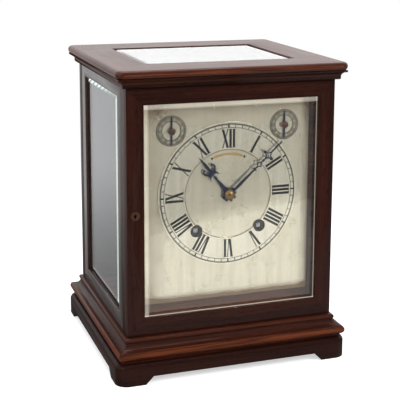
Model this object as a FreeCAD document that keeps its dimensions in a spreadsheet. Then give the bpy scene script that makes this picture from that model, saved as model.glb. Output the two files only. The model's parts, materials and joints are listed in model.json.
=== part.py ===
# A mahogany four-glass mantel clock with a silvered dial, striking on a gong.
# Millimetres. X is to the clock's right as it is looked at, Y to the back, Z up.
# The origin is on the surface it stands on, under the middle of the case.
import FreeCAD, Part
import math
import os
import re
import Sketcher
from FreeCAD import Rotation, Vector

sizes = {
    # case
    "case_width": 190,
    "case_depth": 180,
    "plinth_high": 18.9,
    "base_high": 20,
    "body_high": 217.3,
    "cove_high": 8.3,
    "board_thick": 7.1,
    "strip_in": 16,
    # plinth
    "plinth_out": 12.5,
    "plinth_thick": 14,
    "plinth_corner": 11,
    "plinth_round": 4.5,
    "foot_long": 25,
    "arch_rise": 7,
    "arch_slant": 7,
    # base moulding, from the plinth up
    "undercut_out": 7.5,
    "undercut_rise": 2.4,
    "torus_out": 9.2,
    "torus_rise": 7.7,
    "torus_radius": 4.4,
    "ogee_out": 2.0,
    "ogee_radius": 7,
    "bead_rise": 4.5,
    "bead_radius": 2.4,
    "bead_seat": 1.0,
    # cornice, from the body up
    "neck_out": 3.9,
    "neck_rise": 3.0,
    "neck_round": 0.7,
    "cove_out": 7.4,
    "cove_radius": 4.5,
    "fillet_out": 8.4,
    "fillet_rise": 1.6,
    "board_out": 10,
    "board_corner": 7,
    "board_round": 3.4,
    # doors
    "door_thick": 17,
    "rear_thick": 11,
    "door_stile": 15.2,
    "door_rail_low": 16.3,
    "door_rail_high": 15.0,
    "door_gap": 0.4,
    # side frames and the top's light
    "side_thick": 12,
    "side_stile": 13.6,
    "side_rail_low": 13.4,
    "side_rail_high": 11,
    "top_light_wide": 139.8,
    "top_light_deep": 116,
    # glass
    "rebate": 4,
    "lip": 4.4,
    "door_lip": 3.4,
    "top_lip": 2.6,
    "glass_edge": 2.1,
    "bevel_deep": 1.9,
    "bevel_wide": 4.5,
    "bead_thick": 3,
    # seat board for the movement
    "seat_drop": 72.5,
    "seat_thick": 7,
    "seat_back": -14,
    "seat_gap": 0.3,
    "seat_leg_thick": 8,
    "seat_leg_out": 66,
    # hinges
    "hinge_long": 36,
    "hinge_inset": 51.1,
    "leaf_wide": 9.9,
    "leaf_thick": 1,
    "leaf_gap": 0.05,
    "knuckle_radius": 1.8,
    "knuckle_out": 2.0,
    "knuckle_gap": 0.2,
    "pin_radius": 0.9,
    "pin_gap": 0.05,
    # lock
    "lock_drop": 1.2,
    "lock_in": 7.2,
    "lock_wide": 6,
    "lock_high": 30,
    "lock_deep": 10,
    "bolt_thick": 3,
    "bolt_high": 7,
    "bolt_long": 7,
    "bolt_throw": 4,
    "bolt_gap": 0.3,
    "escutcheon_radius": 4.1,
    "escutcheon_thick": 0.6,
    "keyhole_radius": 1.1,
    "keyhole_drop": 2.6,
    "keyhole_slot": 1.1,
    # rear knob
    "knob_radius": 4.5,
    "knob_neck": 1.8,
    "knob_long": 8,
    "knob_spigot": 5,
    # dial
    "dial_rise": 8.3,
    "dial_side_gap": 3.6,
    "dial_low_gap": 7.0,
    "dial_high_gap": 3.2,
    "dial_thick": 2.8,
    "dial_out": 2.5,
    "ring_thick": 1,
    "ring_outer": 64.5,
    "ring_inner": 39.8,
    "dial_hole": 3.3,
    "winding_hole": 5.1,
    "winding_out": 29.5,
    "winding_drop": 31.6,
    "subdial_out": 52.1,
    "subdial_up": 59.1,
    "subdial_outer": 13.5,
    "subdial_inner": 8.0,
    "subdial_thick": 0.5,
    "subdial_hole": 1.25,
    "surround_thick": 4.4,
    "surround_wide": 11,
    "foot_radius": 2.2,
    "foot_out": 46,
    "foot_up": 50,
    # movement plates
    "front_plate_face": 58,
    "plate_thick": 2.5,
    "plate_space": 40,
    "plate_wide": 118,
    "plate_over": 3,
    "pillar_radius": 3.2,
    "pillar_knob": 4.6,
    "pillar_out": 52,
    "pillar_inset": 7,
    "pivot_gap": 0.05,
    # barrels and their winding squares
    "great_teeth": 72,
    "great_module": 0.75,
    "great_thick": 2.4,
    "great_set": 3,
    "drum_radius": 24,
    "drum_long": 26,
    "drum_wall": 1.5,
    "drum_lid": 1.4,
    "lid_gap": 0.1,
    "spring_gap": 1,
    "spring_core": 9,
    "wind_radius": 2.2,
    "wind_pivot": 1.9,
    "wind_square": 3.8,
    "wind_recess": 1.8,
    "ratchet_teeth": 20,
    "ratchet_radius": 9,
    "ratchet_thick": 1.4,
    # arbors
    "pinion_teeth": 12,
    "arbor_radius": 1.2,
    "thin_radius": 0.85,
    "pivot_radius": 0.6,
    "pinion_over": 0.8,
    "wheel_thick": 1.2,
    "wheel_spokes": 5,
    "light_spokes": 4,
    "first_teeth": 48,
    "first_module": 0.6,
    "first_set": 34.1,
    "pin_wheel_teeth": 60,
    "pin_wheel_module": 0.48,
    "pin_wheel_set": 36.9,
    "pin_count": 8,
    "pin_radius": 0.6,
    "pin_long": 3,
    "small_leaves": 8,
    "train_teeth": 96,
    "train_module": 0.34,
    "centre_set": 9.5,
    "third_set": 27.5,
    "third_lean": 6,
    "escape_set": 31.5,
    "escape_radius": 15,
    "escape_teeth": 32,
    "escape_drop": 3,
    "anchor_span": 8.5,
    "anchor_thick": 1.4,
    "pallet_long": 4,
    "pallet_wide": 0.7,
    "pallet_gap": 0.35,
    "anchor_arm": 3,
    "fly_radius": 7,
    "fly_long": 12,
    "fly_thick": 0.8,
    "fly_set": 8,
    "fly_hub": 1.6,
    # motion work
    "cannon_teeth": 12,
    "cannon_wheel_teeth": 36,
    "cannon_module": 0.5,
    "hour_pinion_teeth": 10,
    "hour_wheel_teeth": 40,
    "hour_module": 0.48,
    "motion_thick": 1.5,
    "motion_gap": 1.2,
    "cannon_radius": 1.8,
    "hour_pipe_radius": 2.7,
    "pipe_gap": 0.05,
    # hands
    "hour_hand_long": 44,
    "minute_hand_long": 66,
    "hand_thick": 0.8,
    "hour_hand_out": 1.3,
    "minute_hand_out": 3.2,
    "hour_angle": -38.7,
    "minute_angle": 47.6,
    "hub_radius": 5.2,
    "hub_lobes": 6,
    "lobe_turn": 41.4,
    "lobe_radius": 1.2,
    "minute_hub": 4.0,
    "boss_radius": 4.8,
    "boss_long": 3.3,
    "boss_rim": 0.8,
    "subhand_long": 11.5,
    "subhand_wide": 1.3,
    "subhand_out": 1.0,
    "subhand_hub": 2.4,
    # pendulum and its cock
    "swing_back": -5,
    "rod_radius": 1.1,
    "rod_clear": 2.9,
    "spring_high": 10,
    "spring_wide": 5,
    "spring_thick": 0.4,
    "spring_drop": 0.3,
    "bob_radius": 18,
    "bob_thick": 9,
    "bob_rim": 1.2,
    "nut_radius": 3,
    "nut_high": 2.2,
    "cock_wide": 16,
    "cock_thick": 4,
    "cock_foot": 12,
    "cock_out": 12,
    "cock_lift": 1.7,
    "crutch_long": 44,
    "crutch_wide": 2.4,
    "crutch_thick": 1.2,
    "fork_gap": 0.3,
    "fork_long": 7,
    # gong, its stand and hammer
    "gong_turns": 3,
    "gong_outer": 36,
    "gong_pitch": 7,
    "gong_wire": 1.4,
    "gong_back": 12,
    "gong_drop": 38.5,
    "stand_wide": 24,
    "stand_deep": 20,
    "stand_high": 12,
    "post_radius": 3.4,
    "hammer_out": 48,
    "hammer_rise": 19.5,
    "hammer_drop": 52,
    "hammer_head": 3.4,
    "hammer_head_long": 7,
    "hammer_rest": 0.5,
    "hammer_arm": 1.6,
    # what a cut runs past a face
    "over": 1,
}

# places that follow from the sizes
worked = {
    "side_x": "case_width / 2",
    "face_y": "case_depth / 2",
    "plinth_x": "side_x + plinth_out",
    "plinth_y": "face_y + plinth_out",
    "body_z": "plinth_high + base_high",
    "cove_z": "body_z + body_high",
    "board_z": "cove_z + cove_high",
    "top_z": "board_z + board_thick",
    "board_x": "side_x + board_out",
    "board_y": "face_y + board_out",
    "inner_x": "side_x - strip_in",
    "inner_y": "face_y - strip_in",
    "door_y": "face_y - door_thick",
    "rear_y": "face_y - rear_thick",
    "side_in": "side_x - side_thick",
    "light_x": "side_x - door_stile",
    "light_low": "body_z + door_rail_low",
    "light_high": "cove_z - door_rail_high",
    "light_mid": "(light_low + light_high) / 2",
    "knuckle_x": "side_x + knuckle_out",
    "hinge_low": "body_z + hinge_inset",
    "hinge_high": "cove_z - hinge_inset",
    "lock_height": "light_mid - lock_drop",
    "glass_thick": "glass_edge + bevel_deep",
    "dial_y": "door_y + dial_out",
    "dial_height": "light_mid + dial_rise",
    "dial_wide": "2 * (light_x - dial_side_gap)",
    "dial_bottom": "light_low + dial_low_gap",
    "dial_top": "light_high - dial_high_gap",
    "dial_back": "dial_y - dial_thick",
    "front_in": "front_plate_face - plate_thick",
    "back_in": "front_in - plate_space",
    "back_out": "back_in - plate_thick",
    "seat_low": "dial_height - seat_drop",
    "seat_top": "seat_low + seat_thick",
    "great_radius": "great_teeth * great_module / 2",
    "wind_z": "dial_height - winding_drop",
    "barrel_reach": "(great_teeth + pinion_teeth) * great_module / 2",
    "first_reach": "(first_teeth + pinion_teeth) * first_module / 2",
    "train_reach": "(train_teeth + small_leaves) * train_module / 2",
    "escape_rise": "2 * train_reach * cos(third_lean)",
    "anchor_reach": "escape_radius / cos(anchor_span * 180 / escape_teeth)",
    "swing_height": "dial_height + escape_rise + anchor_reach",
    "plate_top": "swing_height + plate_over",
    "fly_reach": "(pin_wheel_teeth + small_leaves) * pin_wheel_module / 2",
    "motion_reach": "(cannon_teeth + cannon_wheel_teeth) * cannon_module / 2",
    "great_y": "front_in - great_set",
    "drum_y": "great_y - great_thick",
    "wind_front": "dial_y - wind_recess",
    "hand_y": "dial_y + ring_thick",
    "hour_hand_y": "hand_y + hour_hand_out",
    "minute_hand_y": "hand_y + minute_hand_out",
    "cannon_y": "front_plate_face + motion_gap",
    "hour_wheel_y": "cannon_y + motion_thick + motion_gap",
    "boss_y": "minute_hand_y + hand_thick",
    "rod_below": "bob_radius + nut_high + fork_gap",
    "bob_z": "body_z + rod_clear + rod_below",
    "gong_height": "dial_height - gong_drop",
    "hammer_height": "dial_height + hammer_rise",
}

doc = FreeCAD.newDocument("MantelClock")
sheet = doc.addObject("Spreadsheet::Sheet", "Sizes")
for row, (name, value) in enumerate(sizes.items(), start=1):
    sheet.set("A%d" % row, name)
    sheet.set("B%d" % row, str(value))
    sheet.setAlias("B%d" % row, name)
doc.recompute()

bound = {name: "Sizes." + name for name in sizes}


def bind(text):
    """An expression in names of sizes, as the document's own expression."""
    return re.sub(r"[a-z]\w*", lambda word: bound.get(word.group(), word.group()), text)


for name, text in worked.items():
    bound[name] = "(" + bind(text) + ")"

nodes = []


def num(text):
    return float(sheet.evalExpression(bind(text)))


def keep(thing, label):
    thing.Label = label
    nodes.append(thing)
    return thing


def place(thing, x, y, z):
    for letter, text in zip("xyz", (x, y, z)):
        thing.setExpression("Placement.Base." + letter, bind(text))
    return thing


def box(name, low, high):
    thing = doc.addObject("Part::Box", name)
    for side, first, last in zip(("Length", "Width", "Height"), low, high):
        thing.setExpression(side, bind("(%s) - (%s)" % (last, first)))
    return place(thing, *low)


turns = {
    "x": Rotation(Vector(0, 1, 0), 90),
    "y": Rotation(Vector(1, 0, 0), -90),
    "z": Rotation(),
}


def rod(name, axis, start, radius, long):
    """A cylinder that runs from its start along +X, +Y or +Z."""
    thing = doc.addObject("Part::Cylinder", name)
    thing.setExpression("Radius", bind(radius))
    thing.setExpression("Height", bind(long))
    thing.Placement = FreeCAD.Placement(Vector(), turns[axis])
    return place(thing, *start)


def join(name, parts):
    thing = doc.addObject("Part::MultiFuse", name)
    thing.Shapes = parts
    thing.Refine = True
    return thing


def cut(name, base, tools):
    tool = tools[0]
    if len(tools) > 1:
        tool = doc.addObject("Part::Compound", name + "_tools")
        tool.Links = tools
    thing = doc.addObject("Part::Cut", name)
    thing.Base = base
    thing.Tool = tool
    return thing


def group(name, parts):
    thing = doc.addObject("Part::Compound", name)
    thing.Links = parts
    return thing


def mirror(name, source):
    thing = doc.addObject("Part::Mirroring", name)
    thing.Source = source
    thing.Normal = Vector(1, 0, 0)
    return thing


def sketch_on(body, role, offset="0"):
    sketch = body.newObject("Sketcher::SketchObject", "outline")
    plane = [feature for feature in body.Origin.OriginFeatures if feature.Role == role][0]
    sketch.AttachmentSupport = [(plane, "")]
    sketch.MapMode = "FlatFace"
    sketch.setExpression("AttachmentOffset.Base.z", bind(offset))
    return sketch


def outline(sketch, points):
    """A closed outline. A point is x and y, and ends an arc when it also has a
    radius and the side, 1 left or -1 right, on which the arc's centre lies."""
    spots = [(num(point[0]), num(point[1])) for point in points]
    first = sketch.GeometryCount
    ends = []
    for index, spot in enumerate(spots):
        after = (index + 1) % len(spots)
        start, end = Vector(*spot, 0), Vector(*spots[after], 0)
        if len(points[after]) == 2:
            sketch.addGeometry(Part.LineSegment(start, end), False)
            ends.append((1, 2))
            continue
        radius, side = num(points[after][2]), points[after][3]
        chord = end - start
        reach = math.sqrt(radius ** 2 - (chord.Length / 2) ** 2)
        left = Vector(-chord.y, chord.x, 0).normalize()
        centre = (start + end) / 2 + left * reach * side
        if side < 0:
            start, end = end, start
        sweep = [math.atan2(spot.y - centre.y, spot.x - centre.x) for spot in (start, end)]
        circle = Part.Circle(centre, Vector(0, 0, 1), radius)
        sketch.addGeometry(Part.ArcOfCircle(circle, *sweep), False)
        ends.append((1, 2) if side > 0 else (2, 1))
    for index, point in enumerate(points):
        after = (index + 1) % len(points)
        edge = first + index
        sketch.addConstraint(Sketcher.Constraint(
            "Coincident", edge, ends[index][1], first + after, ends[after][0]))
        for kind, text in zip(("DistanceX", "DistanceY"), point):
            size = Sketcher.Constraint(kind, -1, 1, edge, ends[index][0], num(text))
            mark = sketch.addConstraint(size)
            sketch.setExpression("Constraints[%d]" % mark, bind(text))
        if len(points[after]) > 2:
            mark = sketch.addConstraint(Sketcher.Constraint("Radius", edge, num(points[after][2])))
            sketch.setExpression("Constraints[%d]" % mark, bind(points[after][2]))


def oblong(low_x, low_y, high_x, high_y):
    return [(low_x, low_y), (high_x, low_y), (high_x, high_y), (low_x, high_y)]


def slab(name, role, layers):
    """A body of flat layers, each from one height over its plane to the next."""
    body = doc.addObject("PartDesign::Body", name)
    for low, high, outlines in layers:
        sketch = sketch_on(body, role, low)
        for points in outlines:
            outline(sketch, points)
        pad = body.newObject("PartDesign::Pad", "layer")
        pad.Profile = sketch
        pad.setExpression("Length", bind("(%s) - (%s)" % (high, low)))
        doc.recompute()
    return body


def round_edges(body, wanted, radius):
    """Rounds the edges of a body's last feature that a test picks."""
    tip = body.Tip
    names = ["Edge%d" % (index + 1) for index, edge in enumerate(tip.Shape.Edges) if wanted(edge)]
    feature = body.newObject("PartDesign::Fillet", "rounding")
    feature.Base = (tip, names)
    feature.setExpression("Radius", bind(radius))
    doc.recompute()


def turned(name, role, points, x, y, z):
    """A body turned about the plane's upright axis: x is the radius there."""
    body = doc.addObject("PartDesign::Body", name)
    sketch = sketch_on(body, role)
    outline(sketch, points)
    feature = body.newObject("PartDesign::Revolution", "turning")
    feature.Profile = sketch
    feature.ReferenceAxis = (sketch, ["V_Axis"])
    feature.Angle = 360
    return place(body, x, y, z)


def steps(sections):
    """A turned outline of plain steps, each a radius and the places it runs between."""
    points = [("0", sections[0][1])]
    for radius, low, high in sections:
        points += [(radius, low), (radius, high)]
    return points + [("0", sections[-1][2])]


def solid(name, shape, x, y, z):
    """A shape worked out here, set in place by the sheet."""
    thing = doc.addObject("Part::Feature", name)
    thing.Shape = shape
    return place(thing, x, y, z)


def upright(points, low, high):
    """A flat outline in X and Z, thick along Y."""
    wire = Part.makePolygon([Vector(x, low, z) for x, z in points + points[:1]])
    return Part.Face(wire).extrude(Vector(0, high - low, 0))


def round_bar(x, z, radius, low, high):
    return Part.makeCylinder(radius, high - low, Vector(x, low, z), Vector(0, 1, 0))


# plinth: four boards mitred at the corners, each with an arch between its feet
def mitre(name, half_x, half_y, inward, low, high, turn):
    """The wedge of a square frame that one of its four sides takes up."""
    near = "%s - %s" % (half_y, inward) if turn % 2 == 0 else "%s - %s" % (half_x, inward)
    wide, deep = (half_x, half_y) if turn % 2 == 0 else (half_y, half_x)
    far = "(%s - %s)" % (wide, inward)
    points = [("-" + wide, "-" + deep), (wide, "-" + deep), (far, "-(%s)" % near),
              ("-" + far, "-(%s)" % near)]
    wedge = slab(name, "XY_Plane", [(low, high, [points])])
    wedge.Placement.Rotation = Rotation(Vector(0, 0, 1), 90 * turn)
    return wedge


def standing(edge):
    ends = [vertex.Point for vertex in edge.Vertexes]
    return len(ends) == 2 and abs(ends[0].z - ends[1].z) > num("over")


def outer_corner(half_x):
    return lambda edge: standing(edge) and abs(abs(edge.Vertexes[0].X) - num(half_x)) < num("pin_gap")


def rim_at(height, half_x, half_y, slack):
    """The edges at one height that lie at the outside of an oblong."""
    def wanted(edge):
        spot = edge.CenterOfMass
        outside = abs(spot.x) > num(half_x) - num(slack) or abs(spot.y) > num(half_y) - num(slack)
        return abs(spot.z - num(height)) < num("pin_gap") and outside
    return wanted


plinth_ring = slab("plinth_ring", "XY_Plane", [("0", "plinth_high", [
    oblong("-plinth_x", "-plinth_y", "plinth_x", "plinth_y"),
    oblong("plinth_thick - plinth_x", "plinth_thick - plinth_y",
           "plinth_x - plinth_thick", "plinth_y - plinth_thick")])])
round_edges(plinth_ring, outer_corner("plinth_x"), "plinth_corner")
round_edges(plinth_ring, rim_at("plinth_high", "plinth_x", "plinth_y", "plinth_corner"), "plinth_round")


def arch(name, half, reach, role):
    """The gap between the feet of two opposite boards, with slanting ends."""
    near = "(%s - foot_long)" % half
    high = "(%s - foot_long - arch_slant)" % half
    points = [("-" + near, "-over"), (near, "-over"), (near, "0"), (high, "arch_rise"),
              ("-" + high, "arch_rise"), ("-" + near, "0")]
    return slab(name, role, [("-(%s)" % reach, reach, [points])])


arches = [arch("arch_front", "plinth_x", "plinth_y + over", "XZ_Plane"),
          arch("arch_side", "plinth_y", "plinth_x + over", "YZ_Plane")]
boards = []
for turn, side in enumerate(("front", "right", "back", "left")):
    wedge = mitre("mitre_" + side, "plinth_x", "plinth_y", "plinth_thick", "-over", "plinth_high + over",
                  turn)
    board = doc.addObject("Part::Common", "board_" + side)
    board.Base = plinth_ring
    board.Tool = wedge
    boards.append(cut("plinth_" + side, board, [arches[turn % 2]]))
keep(group("plinth_boards", boards), "plinth")


# base and cornice mouldings: one outline, four mitred lengths of each
def moulding(name, outline_points, low, high):
    sticks = []
    for turn in range(4):
        wide, deep = ("side_x", "face_y") if turn % 2 == 0 else ("face_y", "side_x")
        points = [("-(%s + %s)" % (deep, point[0]),) + tuple(point[1:]) for point in outline_points]
        stick = slab(name + "_stick", "YZ_Plane", [
            ("-(%s + plinth_out)" % wide, "%s + plinth_out" % wide, [points])])
        stick.Placement.Rotation = Rotation(Vector(0, 0, 1), 90 * turn)
        wedge = mitre(name + "_mitre", "(side_x + plinth_out)", "(face_y + plinth_out)",
                      "(plinth_out + strip_in)", low + " - over", high + " + over", turn)
        length = doc.addObject("Part::Common", name + "_length")
        length.Base = stick
        length.Tool = wedge
        sticks.append(length)
    return keep(group(name + "_group", sticks), name)


torus_z = "plinth_high + undercut_rise"
moulding("base_moulding", [
    ("(0 - strip_in)", "plinth_high"),
    ("undercut_out", "plinth_high"),
    ("undercut_out", torus_z),
    ("torus_out", torus_z + " + torus_rise", "torus_radius", -1),
    ("ogee_out", "body_z - bead_rise", "ogee_radius", 1),
    ("bead_seat", "body_z", "bead_radius", -1),
    ("(0 - strip_in)", "body_z"),
], "plinth_high", "body_z")
moulding("cornice_moulding", [
    ("(0 - strip_in)", "cove_z"),
    ("(neck_out - neck_round)", "cove_z"),
    ("neck_out", "cove_z + neck_round"),
    ("neck_out", "cove_z + neck_rise"),
    ("cove_out", "board_z - fillet_rise", "cove_radius", 1),
    ("fillet_out", "board_z - fillet_rise"),
    ("fillet_out", "board_z"),
    ("(0 - strip_in)", "board_z"),
], "cove_z", "board_z")

keep(box("floor", ("-inner_x", "-inner_y", "plinth_high"), ("inner_x", "inner_y", "body_z")), "base_board")

# top frame: a board with a bullnose edge, open over its rebated glass
top_light = oblong("-top_light_wide / 2", "-top_light_deep / 2", "top_light_wide / 2", "top_light_deep / 2")
top_seat = oblong("-top_light_wide / 2 - rebate", "-top_light_deep / 2 - rebate",
                  "top_light_wide / 2 + rebate", "top_light_deep / 2 + rebate")
top_edge = oblong("-board_x", "-board_y", "board_x", "board_y")
top_frame = slab("top_board", "XY_Plane", [
    ("board_z", "top_z - top_lip", [top_edge, top_seat]),
    ("top_z - top_lip", "top_z", [top_edge, top_light])])
round_edges(top_frame, outer_corner("board_x"), "board_corner")
for level in ("top_z", "board_z"):
    round_edges(top_frame, rim_at(level, "board_x", "board_y", "board_corner"), "board_round")
keep(top_frame, "top_frame")


# side frames: stiles and rails round a light, rebated from inside
side_light = ("side_stile - door_y", "body_z + side_rail_low",
              "rear_y - side_stile", "cove_z - side_rail_high")
side_edge = oblong("-door_y", "body_z", "rear_y", "cove_z")
side_seat = ("side_stile - door_y - rebate", "body_z + side_rail_low - rebate",
             "rear_y - side_stile + rebate", "cove_z - side_rail_high + rebate")
hinge_levels = ("hinge_low", "hinge_high")


def leaf_recess(side):
    """Pockets that the hinge leaves lie in: side -1 is the front door's, 1 the rear one's."""
    seam = "(0 - door_y)" if side < 0 else "rear_y"
    return [box("leaf_recess",
                ("side_x - leaf_wide - leaf_gap", seam + " - leaf_thick", level + " - hinge_long / 2"),
                ("side_x + over", seam + " + leaf_thick", level + " + hinge_long / 2"))
            for level in hinge_levels]


bolt_x = "(0 - side_x + lock_in)"
bolt_mortise = box("bolt_mortise",
                   (bolt_x + " - bolt_thick / 2 - bolt_gap", "-door_y - over",
                    "lock_height - bolt_high / 2 - bolt_gap"),
                   (bolt_x + " + bolt_thick / 2 + bolt_gap", "-door_y + bolt_throw + bolt_gap",
                    "lock_height + bolt_high / 2 + bolt_gap"))
right_side = slab("right_side", "YZ_Plane", [
    ("side_in", "side_x - lip", [side_edge, oblong(*side_seat)]),
    ("side_x - lip", "side_x", [side_edge, oblong(*side_light)])])
left_side = slab("left_side", "YZ_Plane", [
    ("-side_x", "lip - side_x", [side_edge, oblong(*side_light)]),
    ("lip - side_x", "-side_in", [side_edge, oblong(*side_seat)])])
keep(cut("right_side_cut", right_side, leaf_recess(-1) + leaf_recess(1)), "right_side_frame")
keep(cut("left_side_cut", left_side, [bolt_mortise]), "left_side_frame")


# glass: a plate with a bevel on its outer face, built facing -Y and then turned
def pane(label, low_x, low_z, high_x, high_z, turn, x, y, z):
    """The light's corners, in the pane's own plane, with its ledge at 0."""
    plate = box(label + "_plate", (low_x + " - rebate", "0", low_z + " - rebate"),
                (high_x + " + rebate", "glass_edge", high_z + " + rebate"))
    bevel = doc.addObject("Part::Wedge", label + "_bevel")
    for side, text in {
        "Xmin": low_x + " + bevel_wide", "Xmax": high_x + " - bevel_wide",
        "Zmin": low_z + " + bevel_wide", "Zmax": high_z + " - bevel_wide",
        "X2min": low_x, "X2max": high_x, "Z2min": low_z, "Z2max": high_z,
        "Ymin": "0 - bevel_deep", "Ymax": "0",
    }.items():
        bevel.setExpression(side, bind(text))
    whole = join(label + "_whole", [plate, bevel])
    whole.Placement.Rotation = turn
    return keep(place(whole, x, y, z), label)


light = ("(0 - light_x)", "light_low", "light_x", "light_high")
pane("front_glass", *light, Rotation(), "0", "door_lip - face_y", "0")
pane("rear_glass", *light, Rotation(Vector(0, 0, 1), 180), "0", "face_y - door_lip", "0")
pane("right_glass", *side_light, Rotation(Vector(0, 0, 1), 90), "side_x - lip", "0", "0")
flipped = ("(side_stile - rear_y)", side_light[1], "(door_y - side_stile)", side_light[3])
pane("left_glass", *flipped, Rotation(Vector(0, 0, 1), -90), "lip - side_x", "0", "0")
pane("top_glass", "(0 - top_light_wide / 2)", "(0 - top_light_deep / 2)", "(top_light_wide / 2)",
     "(top_light_deep / 2)", Rotation(Vector(1, 0, 0), -90), "0", "0", "top_z - top_lip")


# glazing beads behind the panes
def beads(name, role, low, high, inside, outside):
    return slab(name, role, [(low, high, [oblong(*outside), oblong(*inside)])])


light_seat = ("-light_x - rebate", "light_low - rebate", "light_x + rebate", "light_high + rebate")
door_pane = "(door_lip + glass_edge)"
side_pane = "(lip + glass_edge)"
keep(beads("front_beads", "XZ_Plane", "face_y - %s - bead_thick" % door_pane, "face_y - " + door_pane,
           light, light_seat), "front_glass_beads")
keep(beads("rear_beads", "XZ_Plane", door_pane + " - face_y", door_pane + " + bead_thick - face_y",
           light, light_seat), "rear_glass_beads")
right_beads = beads("right_beads", "YZ_Plane", "side_x - %s - bead_thick" % side_pane,
                    "side_x - " + side_pane, side_light, side_seat)
top_inside = [side for point in (top_light[0], top_light[2]) for side in point]
top_outside = [side for point in (top_seat[0], top_seat[2]) for side in point]
top_beads = beads("top_beads", "XY_Plane", "top_z - top_lip - glass_edge - bead_thick",
                  "top_z - top_lip - glass_edge", top_inside, top_outside)
keep(group("case_beads", [right_beads, mirror("left_beads", right_beads), top_beads]), "case_glass_beads")


# doors: each covers the whole front or back of the body, between base and cornice
door_edge = oblong("-side_x", "body_z + door_gap", "side_x", "cove_z - door_gap")
front_frame = slab("front_frame", "XZ_Plane", [
    ("door_y", "face_y - door_lip", [door_edge, oblong(*light_seat)]),
    ("face_y - door_lip", "face_y", [door_edge, oblong(*light)])])
rear_frame = slab("rear_frame", "XZ_Plane", [
    ("-face_y", "door_lip - face_y", [door_edge, oblong(*light)]),
    ("door_lip - face_y", "-rear_y", [door_edge, oblong(*light_seat)])])
lock_low = (bolt_x + " - lock_wide / 2", "-door_y - lock_deep", "lock_height - lock_high / 2")
lock_high = (bolt_x + " + lock_wide / 2", "-door_y", "lock_height + lock_high / 2")
lock_room = box("lock_room", lock_low, (lock_high[0], "over - door_y", lock_high[2]))


def keyhole(name, front, back):
    """A round hole with a slot under it, along Y."""
    return join(name, [
        rod("key_round", "y", (bolt_x, front, "lock_height"), "keyhole_radius",
            "(%s) - (%s)" % (back, front)),
        box("key_slot", (bolt_x + " - keyhole_slot / 2", front, "lock_height - keyhole_drop"),
            (bolt_x + " + keyhole_slot / 2", back, "lock_height"))])


door_key = keyhole("door_key", "-face_y - over", "-door_y")
keep(cut("front_door", front_frame, leaf_recess(-1) + [lock_room, door_key]), "front_door_frame")
knob_x = "(0 - side_x + door_stile / 2)"
knob_bore = rod("knob_bore", "y", (knob_x, "face_y - knob_spigot", "lock_height"), "knob_neck + pivot_gap",
               "knob_long")
keep(cut("rear_door", rear_frame, leaf_recess(1) + [knob_bore]), "rear_door_frame")
knob = turned("knob_turning", "XY_Plane", [
    ("0", "-knob_spigot"), ("knob_neck", "-knob_spigot"), ("knob_neck", "knob_long / 3"),
    ("knob_radius * 4 / 5", "knob_long / 2"), ("knob_radius", "knob_long * 2 / 3"),
    ("knob_radius", "knob_long * 5 / 6"), ("knob_radius * 4 / 5", "knob_long"), ("0", "knob_long"),
], knob_x, "face_y", "lock_height")
keep(knob, "rear_door_knob")


# lock: a case let into the stile's back, with a bolt that shoots into the side frame
bolt_low = (bolt_x + " - bolt_thick / 2", "-door_y - bolt_gap - bolt_long", "lock_height - bolt_high / 2")
bolt_high = (bolt_x + " + bolt_thick / 2", "-door_y - bolt_gap", "lock_height + bolt_high / 2")
bolt_room = box("bolt_room", tuple(text + " - bolt_gap" for text in bolt_low),
                (bolt_high[0] + " + bolt_gap", "over - door_y", bolt_high[2] + " + bolt_gap"))
lock_key = keyhole("lock_key", "-door_y - lock_deep - over", "-door_y - bolt_long - bolt_gap")
keep(cut("lock_body", box("lock_block", lock_low, lock_high), [bolt_room, lock_key]), "lock_case")
keep(box("bolt", bolt_low, bolt_high), "lock_bolt")
plate = rod("escutcheon_plate", "y", (bolt_x, "-face_y - escutcheon_thick", "lock_height"),
            "escutcheon_radius", "escutcheon_thick")
keep(cut("escutcheon_cut", plate, [keyhole("plate_key", "-face_y - over", "over - face_y")]), "escutcheon")


# hinges: the middle knuckle is the door's, the outer two and the pin are the case's
def hinge(side, level, of_door):
    """One leaf of a hinge. Side -1 is the front door's, 1 the rear one's."""
    seam = "(0 - door_y)" if side < 0 else "rear_y"
    toward = side if of_door else -side
    faces = sorted((side_of_seam * toward for side_of_seam in (0, 1)))
    low_y, high_y = (seam + " + leaf_gap * %d" % toward, seam + " + leaf_thick * %d" % toward)
    if faces[0] < 0:
        low_y, high_y = high_y, low_y
    third = "hinge_long / 3"
    start = level + " - hinge_long / 2"
    parts = [box("leaf", ("side_x - leaf_wide", low_y, start),
                 ("side_x", high_y, start + " + hinge_long"))]
    spans = [1] if of_door else [0, 2]
    for span in spans:
        low = "%s + %s * %d + knuckle_gap / 2" % (start, third, span)
        long = third + " - knuckle_gap"
        tab_end = ("knuckle_x", high_y, "%s + %s" % (low, long))
        parts.append(box("tab", ("side_x - over", low_y, low), tab_end))
        parts.append(rod("knuckle", "z", ("knuckle_x", seam, low), "knuckle_radius", long))
    whole = join("hinge_leaf", parts)
    pin = rod("hinge_pin", "z", ("knuckle_x", seam, start), "pin_radius", "hinge_long")
    if of_door:
        room = rod("pin_room", "z", ("knuckle_x", seam, start), "pin_radius + pin_gap", "hinge_long")
        return cut("door_leaf", whole, [room])
    return join("case_leaf", [whole, pin])


for side, name in ((-1, "front"), (1, "rear")):
    leaves = [hinge(side, level, True) for level in hinge_levels]
    keep(group(name + "_leaves", leaves), name + "_door_hinge_leaves")
keep(group("case_leaves", [hinge(side, level, False) for side in (-1, 1) for level in hinge_levels]),
     "case_hinge_leaves")


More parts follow.
